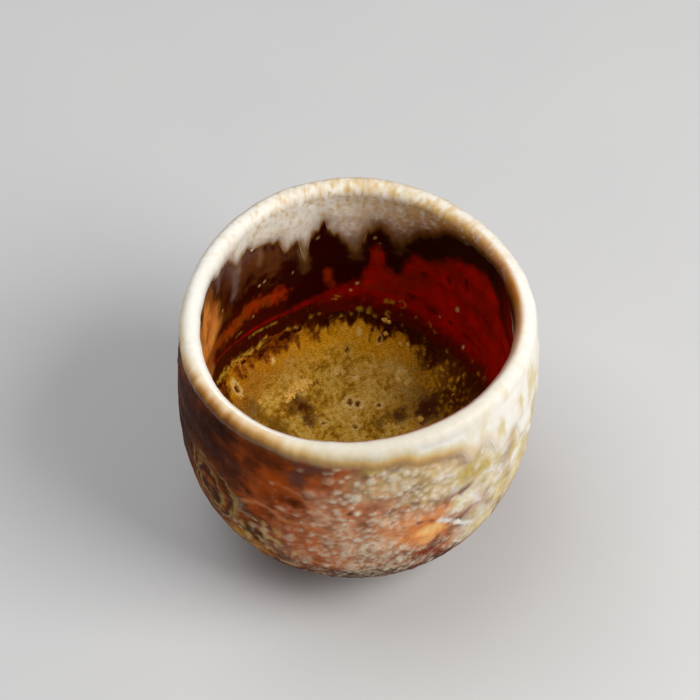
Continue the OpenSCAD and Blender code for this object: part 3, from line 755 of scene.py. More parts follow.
def bead_places():
    """Direction in radians, distance along the section, radius and paleness of each crawled bead."""
    rng = np.random.default_rng(SEED + 5)
    places = [(radians(d), float(outside_at(z)), r, pale) for d, z, r, pale in BIG_BEADS]
    for level in np.arange(outside_at(LINE_Z), outside_at(BEADS_TOP_Z), BEAD_PITCH):
        z = np.interp(level, ALONG, LINE[:, 1])
        count = int(tau * np.interp(level, ALONG, LINE[:, 0]) / BEAD_PITCH)
        for k, (fill, size, jitter_t, jitter_s) in enumerate(rng.random((count, 4))):
            theta = (k + jitter_t) * tau / count
            turn = np.degrees(theta)
            share, radius, pale = bead_field(turn, z, size, jitter_s)
            glow = np.hypot(apart(turn, GLOW.direction) / GLOW.half_turn, (z - GLOW.z) / GLOW.half_h)
            if fill < share and glow > 1:
                places.append((theta, level + BEAD_PITCH * (jitter_s - 0.5), radius, pale))
    return places


def bead_relief(place, theta, rows):
    """Height of the crawled beads over the outer coat, and how much each place is pale bead.

    Low on the wall the beads ran, so they are longer downwards there.
    """
    columns = len(theta)
    along = place.along.reshape(rows, columns)
    height, cover = np.zeros((rows, columns)), np.zeros((rows, columns))
    wobble = (0.35 * clouds(place.clay, 1.2, 81, 2)).reshape(rows, columns)
    for turn, middle, radius, pale in bead_places():
        ring_r = np.interp(middle, ALONG, LINE[:, 0])
        tall = 1 + 0.8 * (1 - ease(18, 50, np.interp(middle, ALONG, LINE[:, 1])))
        reach = radius * BEAD_LENGTH * 1.3
        away = (theta - turn + pi) % tau - pi
        pick = np.where(np.abs(away) * ring_r < reach)[0]
        rows_near = np.where((np.abs(along[:, pick] - middle) < reach * tall).any(1))[0]
        if len(pick) == 0 or len(rows_near) == 0:
            continue
        block = np.ix_(rows_near, pick)
        x, y = away[pick][None] * ring_r, (along[block] - middle) / tall
        long_way = (x * cos(BEAD_LEAN) + y * sin(BEAD_LEAN)) / BEAD_LENGTH
        short_way = y * cos(BEAD_LEAN) - x * sin(BEAD_LEAN)
        distance = np.hypot(long_way, short_way) / radius + wobble[block]
        dome = BEAD_H * radius * np.sqrt(np.clip(1 - distance ** 2, 0, 1))
        height[block] = np.maximum(height[block], dome)
        cover[block] = np.maximum(cover[block], pale * (1 - ease(0.3, 1.15, distance)))
    return height.ravel(), cover.ravel()


def outside_tone(place, beads):
    """Colour of the outside wall, the same on each coat that shows there, with its share of beads."""
    mottle = clouds(place.clay, 5, 86, 4)
    fine = clouds(place.clay, 1.4, 87, 3)
    streak = place.flow(2.4, 88, 3, 3)
    colour = lay(MAROON, RUST * 0.8, ease(-0.5, 0.5, mottle))
    colour = marked(place, colour, OUTSIDE_ZONES)
    colour *= (1 + 0.32 * np.clip(mottle + 0.5 * fine, -1, 1))[:, None]
    rosy = place.facing(272, 42) * (1 - ease(48, 60, place.z))
    colour = lay(colour, CREAM, 0.4 * rosy * ease(0.0, 0.7, fine + 0.4 * mottle))
    bead_tone = lay(srgb(222, 210, 184), srgb(238, 232, 214), ease(0.0, 0.8, fine))
    bead_tone = lay(bead_tone, srgb(212, 166, 132), 0.8 * place.facing(245, 26) * ease(36, 44, place.z))
    bead_tone = lay(bead_tone, HONEY, 0.75 * place.facing(236, 22) * (1 - ease(30, 38, place.z)))
    colour = lay(colour, bead_tone, beads)
    blot, runs = clouds(place.clay, 3.2, 89, 3), place.flow(3.6, 90, 3, 1.9)
    pale = lay(CREAM, WHITE, ease(-0.2, 0.7, blot))
    pale = lay(pale, OLIVE * 1.1, 0.35 * ease(0.1, 0.8, -blot))
    colour = lay(colour, pale, place.spots(CREAM_ZONES, 0.35, 5))
    rings, over = scar_reach(place)
    opened = 1 - 0.7 * ease(0, 1.0, over + 0.5 * mottle)
    colour = lay(colour, ramp(rings, SCAR_RINGS), 0.85 * opened * (1 - ease(0.9, 1.15, rings)))
    colour = marked(place, colour, OUTSIDE_MARKS)
    depth = place.past(white_out)
    drip = place.facing(332, 42)
    soft = depth + (0.2 + 0.6 * drip) * streak
    # Under the white glaze's lower edge the colour darkens to grey olive: the tan of the thinning glaze with
    # painted shadow under its rolled edge
    edge = ramp(soft, ((-1.2, GREY_OLIVE * 0.7), (0.5, srgb(188, 144, 84)), (1.8, HONEY), (3.2, CREAM),
                       (4.5, WHITE)))
    burnt = ramp(soft, ((-1.2, srgb(60, 24, 4)), (0.3, srgb(120, 64, 14)), (1.1, srgb(182, 126, 54)),
                        (2.1, srgb(228, 202, 160)), (3.4, WHITE)))
    milk = lay(CREAM, WHITE, ease(-0.6, 0.4, runs))
    milk = lay(milk, OLIVE * 1.1, 0.4 * ease(0.1, 0.8, -runs) * ease(3, 9, -place.along))
    edge = lay(lay(edge, burnt, place.facing(218, 46)), milk, drip)
    return lay(colour, edge, ease(-1.8, 0.8, soft))


def liner_skin(place):
    return LINER_T + 0.07 * clouds(place.clay, 7, 41) + 0.02 * clouds(place.clay, 1.5, 42, 2)


def coat_skin(place):
    skin = 0.10 * clouds(place.clay, 6, 83) + 0.04 * clouds(place.clay, 1.5, 84, 3)
    rings, _ = scar_reach(place)
    ridges = sum(np.exp(-((rings - ring) / RIDGE_HALF) ** 2) for ring in SCAR_RIDGES)
    return COAT_T + skin + RIDGE_H * ridges


def rim_glaze():
    columns, rows, strips = 720, 118, 3
    overlap, proud, sunk = 1.2, 0.08, 0.08

    def first(theta):
        return white_out(theta) - overlap

    def last(theta):
        return white_in(theta) + overlap

    def relief(place):
        inner, outer = -place.past(white_in), place.past(white_out)
        inward = ease(-2, 2, place.along)
        under = liner_skin(place) * inward + coat_skin(place) * (1 - inward)
        rise = np.minimum(ease(-overlap, 3.5, inner), ease(-overlap, 2.0, outer))
        skin = 0.10 * clouds(place.clay, 5, 11) + 0.03 * place.flow(2.2, 12, 2, 3)
        tuck = sunk * (1 - np.minimum(ease(-overlap, -0.4, inner), ease(-overlap, -0.4, outer)))
        return under + (RIM_T - LINER_T + proud + skin) * rise - tuck

    def paint(place):
        colour = inside_tone(place)[0]
        outside = place.along < 0.3
        colour[outside] = outside_tone(place, np.zeros(len(place.z)))[outside]
        # Painted shade: the lip's white is laid greyer in front and darker at the back, standing for shade
        # that falls on the lip there
        lip = lay(WHITE, srgb(208, 198, 178), place.facing(285, 80))
        lip = lay(lip, srgb(222, 211, 186), place.facing(80, 75))
        back = np.sqrt(place.facing(65, 100))
        top = ease(-4, 0, place.along) * (1 - ease(0.3, 6 - 4.6 * back, place.along)) * (1 - 0.3 * back)
        colour = lay(colour, lip, 0.8 * top * ease(1, 4, place.past(white_out)))
        # Lines along the lip: brown outside at the back, gold to dark inside on the right, ember in front
        far_line = place.facing(105, 85) * ease(-4, -2.4, place.along) * (1 - ease(-1.5, -0.4, place.along))
        colour = lay(colour, srgb(140, 92, 44), 0.85 * far_line)
        right_line = ramp(place.along, ((0.0, CREAM), (0.5, srgb(206, 138, 36)), (1.4, srgb(150, 78, 6)),
                                        (3, srgb(84, 36, 2)), (5, NIGHT)))
        right_share = np.sqrt(place.facing(8, 44)) * ease(0, 1, place.along) * (1 - ease(6, 9, place.along))
        colour = lay(colour, right_line, right_share)
        near_line = place.facing(295, 98) * ease(0.3, 1.3, place.along) * (1 - ease(1.8, 3.6, place.along))
        near_tone = lay(EMBER, BRONZE, place.facing(5, 60))
        colour = lay(colour, near_tone, 0.9 * near_line)
        # Honey flecks and straw mottles on the back of the lip: the glaze's own speckle, laid on heavily so
        # that it is partly painted shade as well
        flecks = ease(-0.2, 0.8, place.flow(2.6, 25, 3, 1.2)) * ease(-3, -1, place.along)
        colour = lay(colour, HONEY, 0.6 * place.facing(75, 85) * flecks * (1 - ease(2, 5, place.along)))
        grain, far = far_mottles(place)
        far = far * ease(-4, -1.5, place.along) * (1 - ease(3, 7, place.along))
        colour = lay(colour, STRAW, 0.6 * far * ease(-0.1, 0.9, grain))
        colour = lay(colour, WHITE, 0.45 * far * ease(-0.1, 0.9, -grain))
        return {"tone": colour}

    return coat("rim_glaze_coat", around(columns, 0), rows, first, last, relief, paint, strips)


def inner_glaze():
    columns, rows, strips = 720, 116, 3
    spread = 3.0

    def first(theta):
        return white_in(theta) - spread

    def last(theta):
        return pool_rim(theta) + spread

    def paint(place):
        colour, shore = inside_tone(place)
        return {"tone": colour, "shore": shore}

    return coat("iron_liner", around(columns, 0), rows, first, last, liner_skin, paint, strips)


def pool_depth_at(along):
    """Depth of the ash glass over the clay, from its edge to the middle of the well."""
    edge = float(inside_at(POOL_Z))
    share = np.clip((along - edge) / (WELL_END - edge), 0, 1)
    return LINER_T + (POOL_DEPTH - LINER_T) * (1 - np.cos(pi * share)) / 2


def disc_grid(count):
    """Even square grid laid on a disc: its distances from the middle (0 to 1) and its directions."""
    side = np.linspace(-1, 1, count)
    x, y = np.meshgrid(side, side)
    flat_x, flat_y = x * np.sqrt(1 - y * y / 2), y * np.sqrt(1 - x * x / 2)
    return np.hypot(flat_x, flat_y), np.arctan2(flat_y, flat_x)


# Marks on the pool: (direction, radius, half width, strength)
HOLLOWS = (
    (130.8, 22, 2.2, 0.9), (137, 21, 2.2, 0.8), (130, 20, 2.6, 1), (133, 16.6, 2.4, 0.9),
    (131, 18.4, 2.6, 0.9),
)
DARK_POOLS = (
    (49, 17.5, 2.6, 0.9), (37, 22.8, 4, 0.95), (33, 26.6, 3.4, 0.8), (62, 13.1, 1.8, 0.6),
    (57.2, 15.8, 1.6, 0.6), (157, 27, 3.4, 0.6), (157.5, 20.8, 4, 0.6), (28.2, 28.6, 5, 0.95),
    (20, 30, 6, 0.9), (53.8, 30.8, 3.4, 0.9), (170, 27, 6, 0.6), (5, 24, 6, 0.7), (300, 12, 7, 0.5),
    (240, 22, 8, 0.5),
)
GOLD_POOLS = (
    (113.2, 31.2, 1.8, 0.9), (135.5, 30, 1.3, 0.9), (131, 30.5, 1.3, 1), (140, 31.2, 1.3, 0.8),
    (87.8, 30.9, 1.8, 0.9), (85, 31.6, 1.2, 0.9), (95.8, 31, 1.3, 0.8), (99.5, 31.7, 1.2, 0.8),
    (104.2, 30.9, 1.3, 0.8), (68.2, 30.8, 1.8, 0.9), (80.2, 30.2, 1.5, 0.9), (155.5, 31.9, 2.6, 0.9),
    (125, 30.6, 0.8, 0.8), (37.2, 18.6, 2, 0.5), (57.2, 31.1, 1.2, 0.7),
)
PALE_POOLS = (
    (132.8, 23.8, 1.3, 0.8), (125.5, 24.2, 1.4, 0.9), (121, 24.4, 1.0, 0.8), (100, 24.9, 0.8, 0.9),
    (96.8, 24.6, 0.6, 0.8), (89.8, 24, 1.3, 1), (63.2, 25.6, 1.6, 1), (58, 25, 1.2, 0.8),
    (89.8, 13.1, 0.7, 0.9), (67.5, 18, 0.8, 0.6), (131, 30.6, 0.6, 0.9), (88, 31.2, 0.8, 0.8),
    (200, 14, 2, 0.6), (330, 16, 2, 0.6), (265, 9, 2, 0.6),
)
# Burst bubbles on the pool: direction, radius, half width and paleness of the ring
PITS = (
    (94.5, 17.6, 0.95, 1), (87.2, 17, 0.9, 1), (89.8, 10.7, 0.7, 0.8), (155.5, 31.6, 0.8, 1),
    (94, 28.6, 0.7, 0.1), (123.8, 13.8, 0.6, 0.6), (78.5, 30.4, 0.5, 0.6), (70, 17.5, 0.6, 0.6),
    (20, 21, 0.7, 0.6), (200, 10, 0.8, 0.6), (240, 20, 0.9, 0.6), (330, 18, 0.8, 0.6), (265, 25, 0.8, 0.6),
)


def polar(direction, radius):
    return radius * np.array((cos(radians(direction)), sin(radians(direction))))


def pool_spots(flat, places, wobble):
    """Mask of soft round marks on the pool."""
    mask = np.zeros(len(flat))
    for direction, radius, half, strength in places:
        away = np.hypot(*(flat - polar(direction, radius)).T) / half + wobble
        mask = np.maximum(mask, strength * (1 - ease(0.35, 1.2, away)))
    return mask


def pool_pits(flat, wobble):
    """Masks of the burst bubbles: their holes and their raised rings."""
    pit, ring = np.zeros(len(flat)), np.zeros(len(flat))
    for direction, radius, half, paleness in PITS:
        away = np.hypot(*(flat - polar(direction, radius)).T) / half + wobble
        pit = np.maximum(pit, 1 - ease(0.4, 1.0, away))
        ring = np.maximum(ring, paleness * np.exp(-((away - 1.35) / 0.4) ** 2))
    return pit, ring


def pool_tone(place, flat):
    teeth = place.flow(2.0, 64, 3, 2.2)
    mottle = clouds(place.clay, 7, 65, 4)
    fine = clouds(place.clay, 1.1, 66, 3)
    wobble = 0.35 * clouds(place.clay, 1.6, 67, 3)
    hollow = pool_spots(flat, HOLLOWS, wobble)
    pit, ring = pool_pits(flat, 0.5 * clouds(place.clay, 0.8, 68, 2))
    colour = ramp(mottle + 1.3 * fine, ((-0.9, srgb(146, 98, 6)), (0, ASH), (0.9, srgb(224, 184, 92))))
    reach = place.past(pool_rim) + 3.5 * teeth + 1.5 * mottle
    gilded = 1 - ease(6, 14, reach + 6 * place.facing(150, 40))
    colour = lay(colour, srgb(232, 166, 20), 0.8 * gilded)
    colour = lay(colour, srgb(116, 54, 2), 1 - ease(3.6, 6.6, reach))
    colour = lay(colour, srgb(52, 10, 2), 1 - ease(2.2, 5.0, reach + 0.8 * fine))
    colour = lay(colour, GOLD, pool_spots(flat, GOLD_POOLS, 1.6 * wobble))
    far_right = place.facing(36, 42) * ease(14, 24, np.hypot(*flat.T))
    colour = lay(colour, srgb(84, 38, 4), 0.9 * far_right * ease(-0.7, 0.5, fine + 0.6 * mottle + 0.2))
    far_left = np.sqrt(place.facing(150, 44)) * ease(25, 30, np.hypot(*flat.T))
    colour = lay(colour, srgb(160, 82, 4), 0.75 * far_left * ease(-0.7, 0.5, fine + 0.6 * mottle + 0.2))
    dark = pool_spots(flat, DARK_POOLS, wobble)
    colour = lay(colour, srgb(62, 20, 2), dark * ease(-0.9, 0.2, 1.2 * fine + 0.6 * mottle + 0.3))
    colour = lay(colour, srgb(82, 38, 4), hollow * ease(-0.8, 0.2, 1.2 * fine + 0.4))
    colour = lay(colour, PALE_ASH, pool_spots(flat, PALE_POOLS, wobble))
    colour = lay(colour, PALE_ASH, 0.85 * ring * (1 - pit))
    colour = lay(colour, UMBER * 0.5, 0.9 * pit)
    return lay(colour, ASH, 0.85 * shore_dabs(place)), hollow, pit, ring


def ash_pool():
    count, unwrap_r = 212, 36.0
    proud, sunk = 0.08, 0.06
    share, theta = disc_grid(count)
    share, theta = share.ravel(), theta.ravel()
    place = Patch(theta, WELL_END - share * (WELL_END - pool_rim(theta)))
    flat = place.clay[:, :2]
    colour, hollow, pit, ring = pool_tone(place, flat)
    lumps = 0.14 * clouds(place.clay, 5, 61) + 0.08 * clouds(place.clay, 1.2, 62, 3)
    height = pool_depth_at(place.along) + lumps - 0.5 * hollow + 0.16 * ring - 0.45 * pit
    inward = place.past(pool_rim)
    rise = ease(0, 1.6, inward)
    tuck = sunk * (1 - ease(0, 0.5, inward))
    height = liner_skin(place) * (1 - rise) + (height + proud) * rise - tuck
    front = raised(place.theta, place.along, height)

    grid = np.arange(count * count).reshape(count, count)
    quads = np.stack((grid[:-1, :-1], grid[:-1, 1:], grid[1:, 1:], grid[1:, :-1]), -1)
    faces = quads.reshape(-1, 4).tolist()
    border = np.concatenate((grid[0, :-1], grid[:-1, -1], grid[-1, :0:-1], grid[:0:-1, 0]))
    rings = (1.0, 0.85, 0.7, 0.5, 0.3)
    inset, depth = WELL_END - place.along[border], np.full(len(border), POOL_BACK)
    behind = [raised(theta[border], WELL_END - k * inset, depth) for k in rings]
    middle = raised(np.zeros(1), np.array((WELL_END,)), np.full(1, POOL_BACK))
    points = np.vstack((front, *behind, middle))
    chain = [border] + [np.arange(len(border)) + count * count + k * len(border) for k in range(len(rings))]
    for outer, inner in zip(chain, chain[1:]):
        faces += np.stack((outer, inner, np.roll(inner, -1), np.roll(outer, -1)), -1).tolist()
    tip = len(points) - 1
    faces += [(int(a), tip, int(b)) for a, b in zip(chain[-1], np.roll(chain[-1], -1))]

    def uv(corners):
        share_at = np.clip(np.hypot(*points[corners, :2].T) / unwrap_r, 0, 1)
        turn = np.arctan2(points[corners, 1], points[corners, 0])
        behind_front = corners >= count * count
        spread = np.where(behind_front, 0.02, 0.49) * share_at
        middle_at = np.where(behind_front, 0.98, 0.5)
        return np.column_stack((middle_at + spread * np.cos(turn), middle_at + spread * np.sin(turn)))

    tone = np.vstack((colour, np.tile(SOOT, (len(points) - count * count, 1))))
    return build("ash_glass_pool", points, faces, uv, {"tone": tone, "grit": ease(0.08, 0.4, tone[:, 0])})


# Lumps of fused ash: (direction, radius, half width, height over the pool)
LUMPS = (
    (90.5, 24.1, 0.8, 0.45), (88.6, 24.5, 0.6, 0.35), (99.5, 24.7, 0.5, 0.3), (96, 24.6, 0.4, 0.3),
    (62.8, 25.6, 0.9, 0.45), (60.6, 25.2, 0.6, 0.35), (57.5, 25, 0.7, 0.4), (77, 33, 0.8, 0.45),
    (75.2, 32.9, 0.6, 0.4), (76, 31.4, 0.7, 0.4), (35, 20, 0.8, 0.4), (150, 27, 0.7, 0.4),
    (300, 13, 1.5, 0.8), (240, 18, 1.4, 0.8), (110, 16.5, 0.5, 0.3), (68.2, 30.4, 0.7, 0.4),
    (64.8, 30.7, 0.6, 0.35), (132, 30.2, 0.6, 0.35),
)
CRUST = SimpleNamespace(start=(136, 23.0), bend=(126, 25.4), end=(119, 23.8), lumps=64, width=0.9)


def crumb_places():
    """The lumps, and the crust as a crescent of small ones over the upper side of the hollow."""
    rng = np.random.default_rng(SEED)
    places = list(LUMPS)
    start, bend, end = polar(*CRUST.start), polar(*CRUST.bend), polar(*CRUST.end)
    for k in range(CRUST.lumps):
        share = k / (CRUST.lumps - 1)
        middle = (1 - share) ** 2 * start + 2 * share * (1 - share) * bend + share ** 2 * end
        x, y = middle + CRUST.width * (rng.random(2) - 0.5) * 2
        half = 0.26 + 0.4 * rng.random() ** 2
        places.append((np.degrees(np.arctan2(y, x)), np.hypot(x, y), half, 0.25 + 0.7 * half))
    return places


CRUMB_RINGS, CRUMB_SIDES = 6, 16
CRUMB_SUNK, CRUMB_ROUGH = 0.35, 0.45


def crumb(index, direction, radius, half, height):
    """Points of one rough lump that stands on the pool: rings from its foot up, and its tip."""
    well = ALONG > inside_at(BELLY_Z)
    along = np.interp(-radius, -LINE[well, 0], ALONG[well])
    floor_h = pool_depth_at(along)
    turns = np.arange(CRUMB_SIDES) * tau / CRUMB_SIDES
    lifts = np.linspace(-CRUMB_SUNK, 1, CRUMB_RINGS + 1)[:-1] * pi / 2
    spread = half * np.cos(lifts)[:, None]
    side = radians(direction) + spread * np.cos(turns) / max(radius, 4)
    ahead = along + spread * np.sin(turns)
    lift = floor_h + height * np.sin(lifts)[:, None] * np.ones(CRUMB_SIDES)
    body = raised(side.ravel(), ahead.ravel(), lift.ravel())
    tip = raised(np.array((radians(direction),)), np.array((along,)), np.array((floor_h + height,)))
    lump = np.vstack((body, tip))
    middle = lump.mean(0)
    rough = 1 + CRUMB_ROUGH * clouds(lump + 7.3 * index, half, 71, 3)
    return middle + (lump - middle) * rough[:, None]


def kiln_crumbs():
    points, faces, tones = [], [], []
    for index, (direction, radius, half, height) in enumerate(crumb_places()):
        start = sum(len(p) for p in points)
        lump = crumb(index, direction, radius, half, height)
        points.append(lump)
        faces += ring_faces(CRUMB_RINGS, CRUMB_SIDES, start)
        crown, tip = start + (CRUMB_RINGS - 1) * CRUMB_SIDES, start + len(lump) - 1
        faces += [(crown + k, crown + (k + 1) % CRUMB_SIDES, tip) for k in range(CRUMB_SIDES)]
        faces.append(tuple(start + k for k in range(CRUMB_SIDES - 1, -1, -1)))
        pale = 0.1 + 0.4 * (index * 0.618 % 1) if index < len(LUMPS) else 1
        shade = lay(ASH, srgb(252, 206, 96), np.full(len(lump), pale))
        # Painted shade: each lump darkens towards its foot, where it meets the pool
        low = (lump[:, 2] - lump[:, 2].min()) / (2 * height)
        tones.append(lay(shade, UMBER, 0.5 * (1 - ease(-0.1, 0.4, low))))
    points = np.vstack(points)
    low, high = points.min(0), points.max(0)

    def uv(corners):
        return (points[corners, :2] - low[:2]) / (high[:2] - low[:2])

    return build("kiln_crumb_lumps", points, faces, uv, {"tone": np.vstack(tones)})


def outer_glaze():
    columns, rows, strips, back_rows = 640, 142, 2, 12
    overlap, front_crowd = 2.5, 0.35
    roll_h, roll_at, roll_half = 0.25, 1.2, 0.8
    theta = around(columns, front_crowd)
    made = {}

    def last(angle):
        return white_out(angle) + overlap

    def relief(place):
        beads, made["cover"] = bead_relief(place, theta, rows)
        edge = place.past(coat_line)
        roll = roll_h * np.exp(-((edge - roll_at) / roll_half) ** 2)
        hidden = ease(-1.5, 0.0, place.past(white_out))
        return (coat_skin(place) + (roll + beads) * (1 - hidden)) * np.sqrt(ease(-0.3, 1.4, edge))

    def paint(place):
        cover = made["cover"] * (1 - ease(-1.0, 0.5, place.past(white_out)))
        colour = outside_tone(place, cover)
        grain = place.facing(280, 40) * (1 - ease(28, 44, place.z)) * (1 - cover)
        return {"tone": colour, "grain": grain}

    return coat("ash_coat_shell", theta, rows, coat_line, last, relief, paint, strips, back_rows)


def clay_tone(points):
    mottle = clouds(points, 5, 101, 4)
    fine = clouds(points, 0.9, 102, 2)
    colour = lay(srgb(150, 104, 70), srgb(112, 70, 46), ease(-0.5, 0.5, mottle))
    return lay(colour, srgb(186, 150, 112), 0.6 * ease(0.1, 0.7, fine))


def revolve(name, line, columns, wobble=lambda theta, z, r: 0 * theta):
    """Closed clay body turned from a loop of (r, z) points, with its radius changed by the wobble."""
    theta = np.arange(columns) * tau / columns
    radius, z = np.asarray(line, float).T[:, :, None]
    rows = len(radius)
    r = radius + wobble(theta[None], z, radius)
    points = np.stack((r * np.cos(theta), r * np.sin(theta), np.broadcast_to(z, r.shape)), -1).reshape(-1, 3)

    def uv(corners):
        row, column = corners // columns, corners % columns
        return np.column_stack((column / columns, row / (rows - 1)))

    return build(name, points, ring_faces(rows, columns, loop=True), uv, {"tone": clay_tone(points)})


def clay_body():
    """The clay under the coats; its bare band over the foot and its trimmed underside show."""
    axis_r, middle_r = 1e-4, 0.4
    groove, spiral_pitch, fade_w = 0.16, 2.6, 3
    out_step, in_step = 6, 8
    seat_in_r = FOOT_R - FOOT_W - FOOT_FLARE
    under_r = np.linspace(middle_r, seat_in_r, 60)
    fade = ease(0, fade_w, seat_in_r - under_r)
    lift = groove * np.cos(tau * under_r / spiral_pitch) * fade - groove * fade
    under = np.column_stack((under_r, UNDER_Z + lift))
    out = LINE[(ALONG < 0) & (LINE[:, 0] > seat_in_r)][::out_step]
    inside = LINE[ALONG >= 0][::in_step]
    inside = inside[inside[:, 0] > middle_r]
    line = np.vstack(((axis_r, UNDER_Z), under, out, inside, (axis_r, LINE[-1, 1])))
    return revolve("clay_wall", line, 288)


def foot_ring():
    """Trimmed foot with a flat face, worn bevels and the marks of the trimming tool."""
    sunk_out, sunk_in = 0.3, 0.2
    wall_out = LINE[ALONG < 0][::-1]
    top_z = float(np.interp(-(FOOT_R + FOOT_FLARE), -wall_out[:, 0], wall_out[:, 1])) + sunk_out
    under_z = UNDER_Z + sunk_in
    inner_r = FOOT_R - FOOT_W
    bevel = np.linspace(0, pi / 2, 6)
    face = np.linspace(inner_r + FOOT_BEVEL, FOOT_R - FOOT_BEVEL, 10)
    side = np.linspace(0, 1, 16)
    line = [(inner_r + FOOT_BEVEL * (1 - cos(a)), FOOT_BEVEL * (1 - sin(a))) for a in bevel]
    line += [(r, 0) for r in face[1:-1]]
    line += [(FOOT_R - FOOT_BEVEL * (1 - sin(a)), FOOT_BEVEL * (1 - cos(a))) for a in bevel]
    line += [(FOOT_R + FOOT_FLARE * u, FOOT_BEVEL + (top_z - FOOT_BEVEL) * u) for u in side[1:]]
    line += [(inner_r - FOOT_FLARE * u, FOOT_BEVEL + (under_z - FOOT_BEVEL) * u) for u in side[:0:-1]]

    def wobble(theta, z, r):
        way = ease(0.1, 1.2, z) * np.where(r > FOOT_R - FOOT_W / 2, 1, -1)
        chatter = 0.10 * np.sin(tau * z / 1.3 + 2 * theta) + 0.05 * np.sin(9 * theta + 3 * z)
        return way * chatter

    return revolve("foot_ring_clay", line, 240, wobble)


# Materials

class Shader:
    """Node tree of one material, built by short calls. Sizes of patterns are in mm."""

    def __init__(self, name):
        self.material = bpy.data.materials.new(name)
        self.material.use_nodes = True
        self.tree = self.material.node_tree
        self.surface = self.tree.nodes["Principled BSDF"]
        self.place = self.add("ShaderNodeTexCoord").outputs["Object"]

    def add(self, kind, **settings):
        node = self.tree.nodes.new(kind)
        for key, value in settings.items():
            setattr(node, key, value)
        return node

    def put(self, socket, value):
        if isinstance(value, bpy.types.NodeSocket):
            self.tree.links.new(value, socket)
        else:
            socket.default_value = value

    def attribute(self, name, output="Color"):
        return self.add("ShaderNodeAttribute", attribute_name=name).outputs[output]

    def stretched(self, stretch):
        node = self.add("ShaderNodeMapping")
        self.put(node.inputs["Vector"], self.place)
        node.inputs["Scale"].default_value = (1, 1, 1 / stretch)
        return node.outputs["Vector"]

    def noise(self, size, detail=4.0, stretch=1.0):
        node = self.add("ShaderNodeTexNoise")
        self.put(node.inputs["Vector"], self.stretched(stretch))
        node.inputs["Scale"].default_value = 1 / (size * MM)
        node.inputs["Detail"].default_value = detail
        return node.outputs["Fac"]

    def cells(self, size):
        node = self.add("ShaderNodeTexVoronoi")
        self.put(node.inputs["Vector"], self.place)
        node.inputs["Scale"].default_value = 1 / (size * MM)
        return node.outputs["Distance"]

    def span(self, value, low, high, to_low=0.0, to_high=1.0):
        node = self.add("ShaderNodeMapRange")
        self.put(node.inputs["Value"], value)
        for key, number in (("From Min", low), ("From Max", high), ("To Min", to_low), ("To Max", to_high)):
            node.inputs[key].default_value = number
        return node.outputs["Result"]

    def times(self, first, second):
        node = self.add("ShaderNodeMath", operation="MULTIPLY")
        self.put(node.inputs[0], first)
        self.put(node.inputs[1], second)
        return node.outputs[0]

    def mix(self, share, under, over, blend="MIX"):
        node = self.add("ShaderNodeMix", data_type="RGBA", blend_type=blend)
        self.put(node.inputs["Factor"], share)
        for key, value in (("A", under), ("B", over)):
            socket = next(s for s in node.inputs if s.name == key and s.type == "RGBA")
            if not isinstance(value, bpy.types.NodeSocket):
                value = (*value, 1)
            self.put(socket, value)
        return next(s for s in node.outputs if s.type == "RGBA")

    def bump(self, height, depth, strength):
        """Adds a pattern of that depth in mm to the surface's bumps."""
        node = self.add("ShaderNodeBump")
        node.inputs["Strength"].default_value = strength
        node.inputs["Distance"].default_value = depth * MM
        self.put(node.inputs["Height"], height)
        normal = self.surface.inputs["Normal"]
        if normal.is_linked:
            self.put(node.inputs["Normal"], normal.links[0].from_socket)
        self.put(normal, node.outputs["Normal"])

    def finish(self, colour, roughness, specular):
        self.put(self.surface.inputs["Base Color"], colour)
        self.put(self.surface.inputs["Roughness"], roughness)
        self.surface.inputs["Specular IOR Level"].default_value = specular
        return self.material


def white_glaze_material():
    shader = Shader("white_glaze")
    streaks = shader.noise(1.1, 5, 6)
    colour = shader.mix(shader.span(streaks, 0.45, 0.75, 0, 0.22), shader.attribute("tone"),
                        (0.86, 0.70, 0.46), "MULTIPLY")
    pores = shader.span(shader.cells(1.1), 0.0, 0.16, 1, 0)
    colour = shader.mix(shader.times(pores, 0.2), colour, TAN)
    shader.bump(shader.noise(1.4, 4), 0.07, 0.5)
    return shader.finish(colour, shader.span(streaks, 0.3, 0.8, 0.30, 0.45), 0.15)


def iron_glaze_material():
    shader = Shader("iron_glaze")
    cloud = shader.noise(1.8, 6, 2)
    colour = shader.mix(shader.span(cloud, 0.4, 0.7, 0, 0.25), shader.attribute("tone"), NIGHT)
    specks = shader.span(shader.cells(1.5), 0.02, 0.14, 1, 0)
    patches = shader.span(shader.noise(5, 2), 0.5, 0.6, 0, 1)
    shore = shader.span(shader.attribute("shore", "Fac"), 0, 1, 0.25, 1)
    colour = shader.mix(shader.times(shader.times(specks, patches), shore), colour, BRONZE)
    shader.bump(shader.noise(1.3, 4), 0.06, 0.5)
    return shader.finish(colour, shader.span(cloud, 0.3, 0.8, 0.34, 0.48), 0.03)


def ash_glass_material():
    shader = Shader("ash_glass")
    grain = shader.noise(0.4, 3)
    cloud = shader.noise(1.0, 4)
    colour = shader.mix(shader.span(grain, 0.36, 0.54, 0.4, 0), shader.attribute("tone"), SOOT * 1.5)
    pale = shader.times(shader.span(grain, 0.54, 0.68, 0, 0.4), shader.span(cloud, 0.42, 0.6))
    pale = shader.times(pale, shader.attribute("grit", "Fac"))
    colour = shader.mix(pale, colour, srgb(236, 196, 104))
    shader.bump(shader.noise(0.6, 4), 0.16, 0.8)
    shader.bump(shader.cells(0.9), 0.10, 0.5)
    return shader.finish(colour, shader.span(grain, 0.3, 0.7, 0.55, 0.38), 0.03)


def ash_crust_material():
    shader = Shader("ash_crust")
    grain = shader.noise(0.5, 4)
    colour = shader.mix(shader.span(grain, 0.35, 0.55, 0.35, 0), shader.attribute("tone"), BURNT)
    shader.bump(grain, 0.2, 0.8)
    return shader.finish(colour, shader.span(grain, 0.3, 0.7, 0.7, 0.4), 0.4)


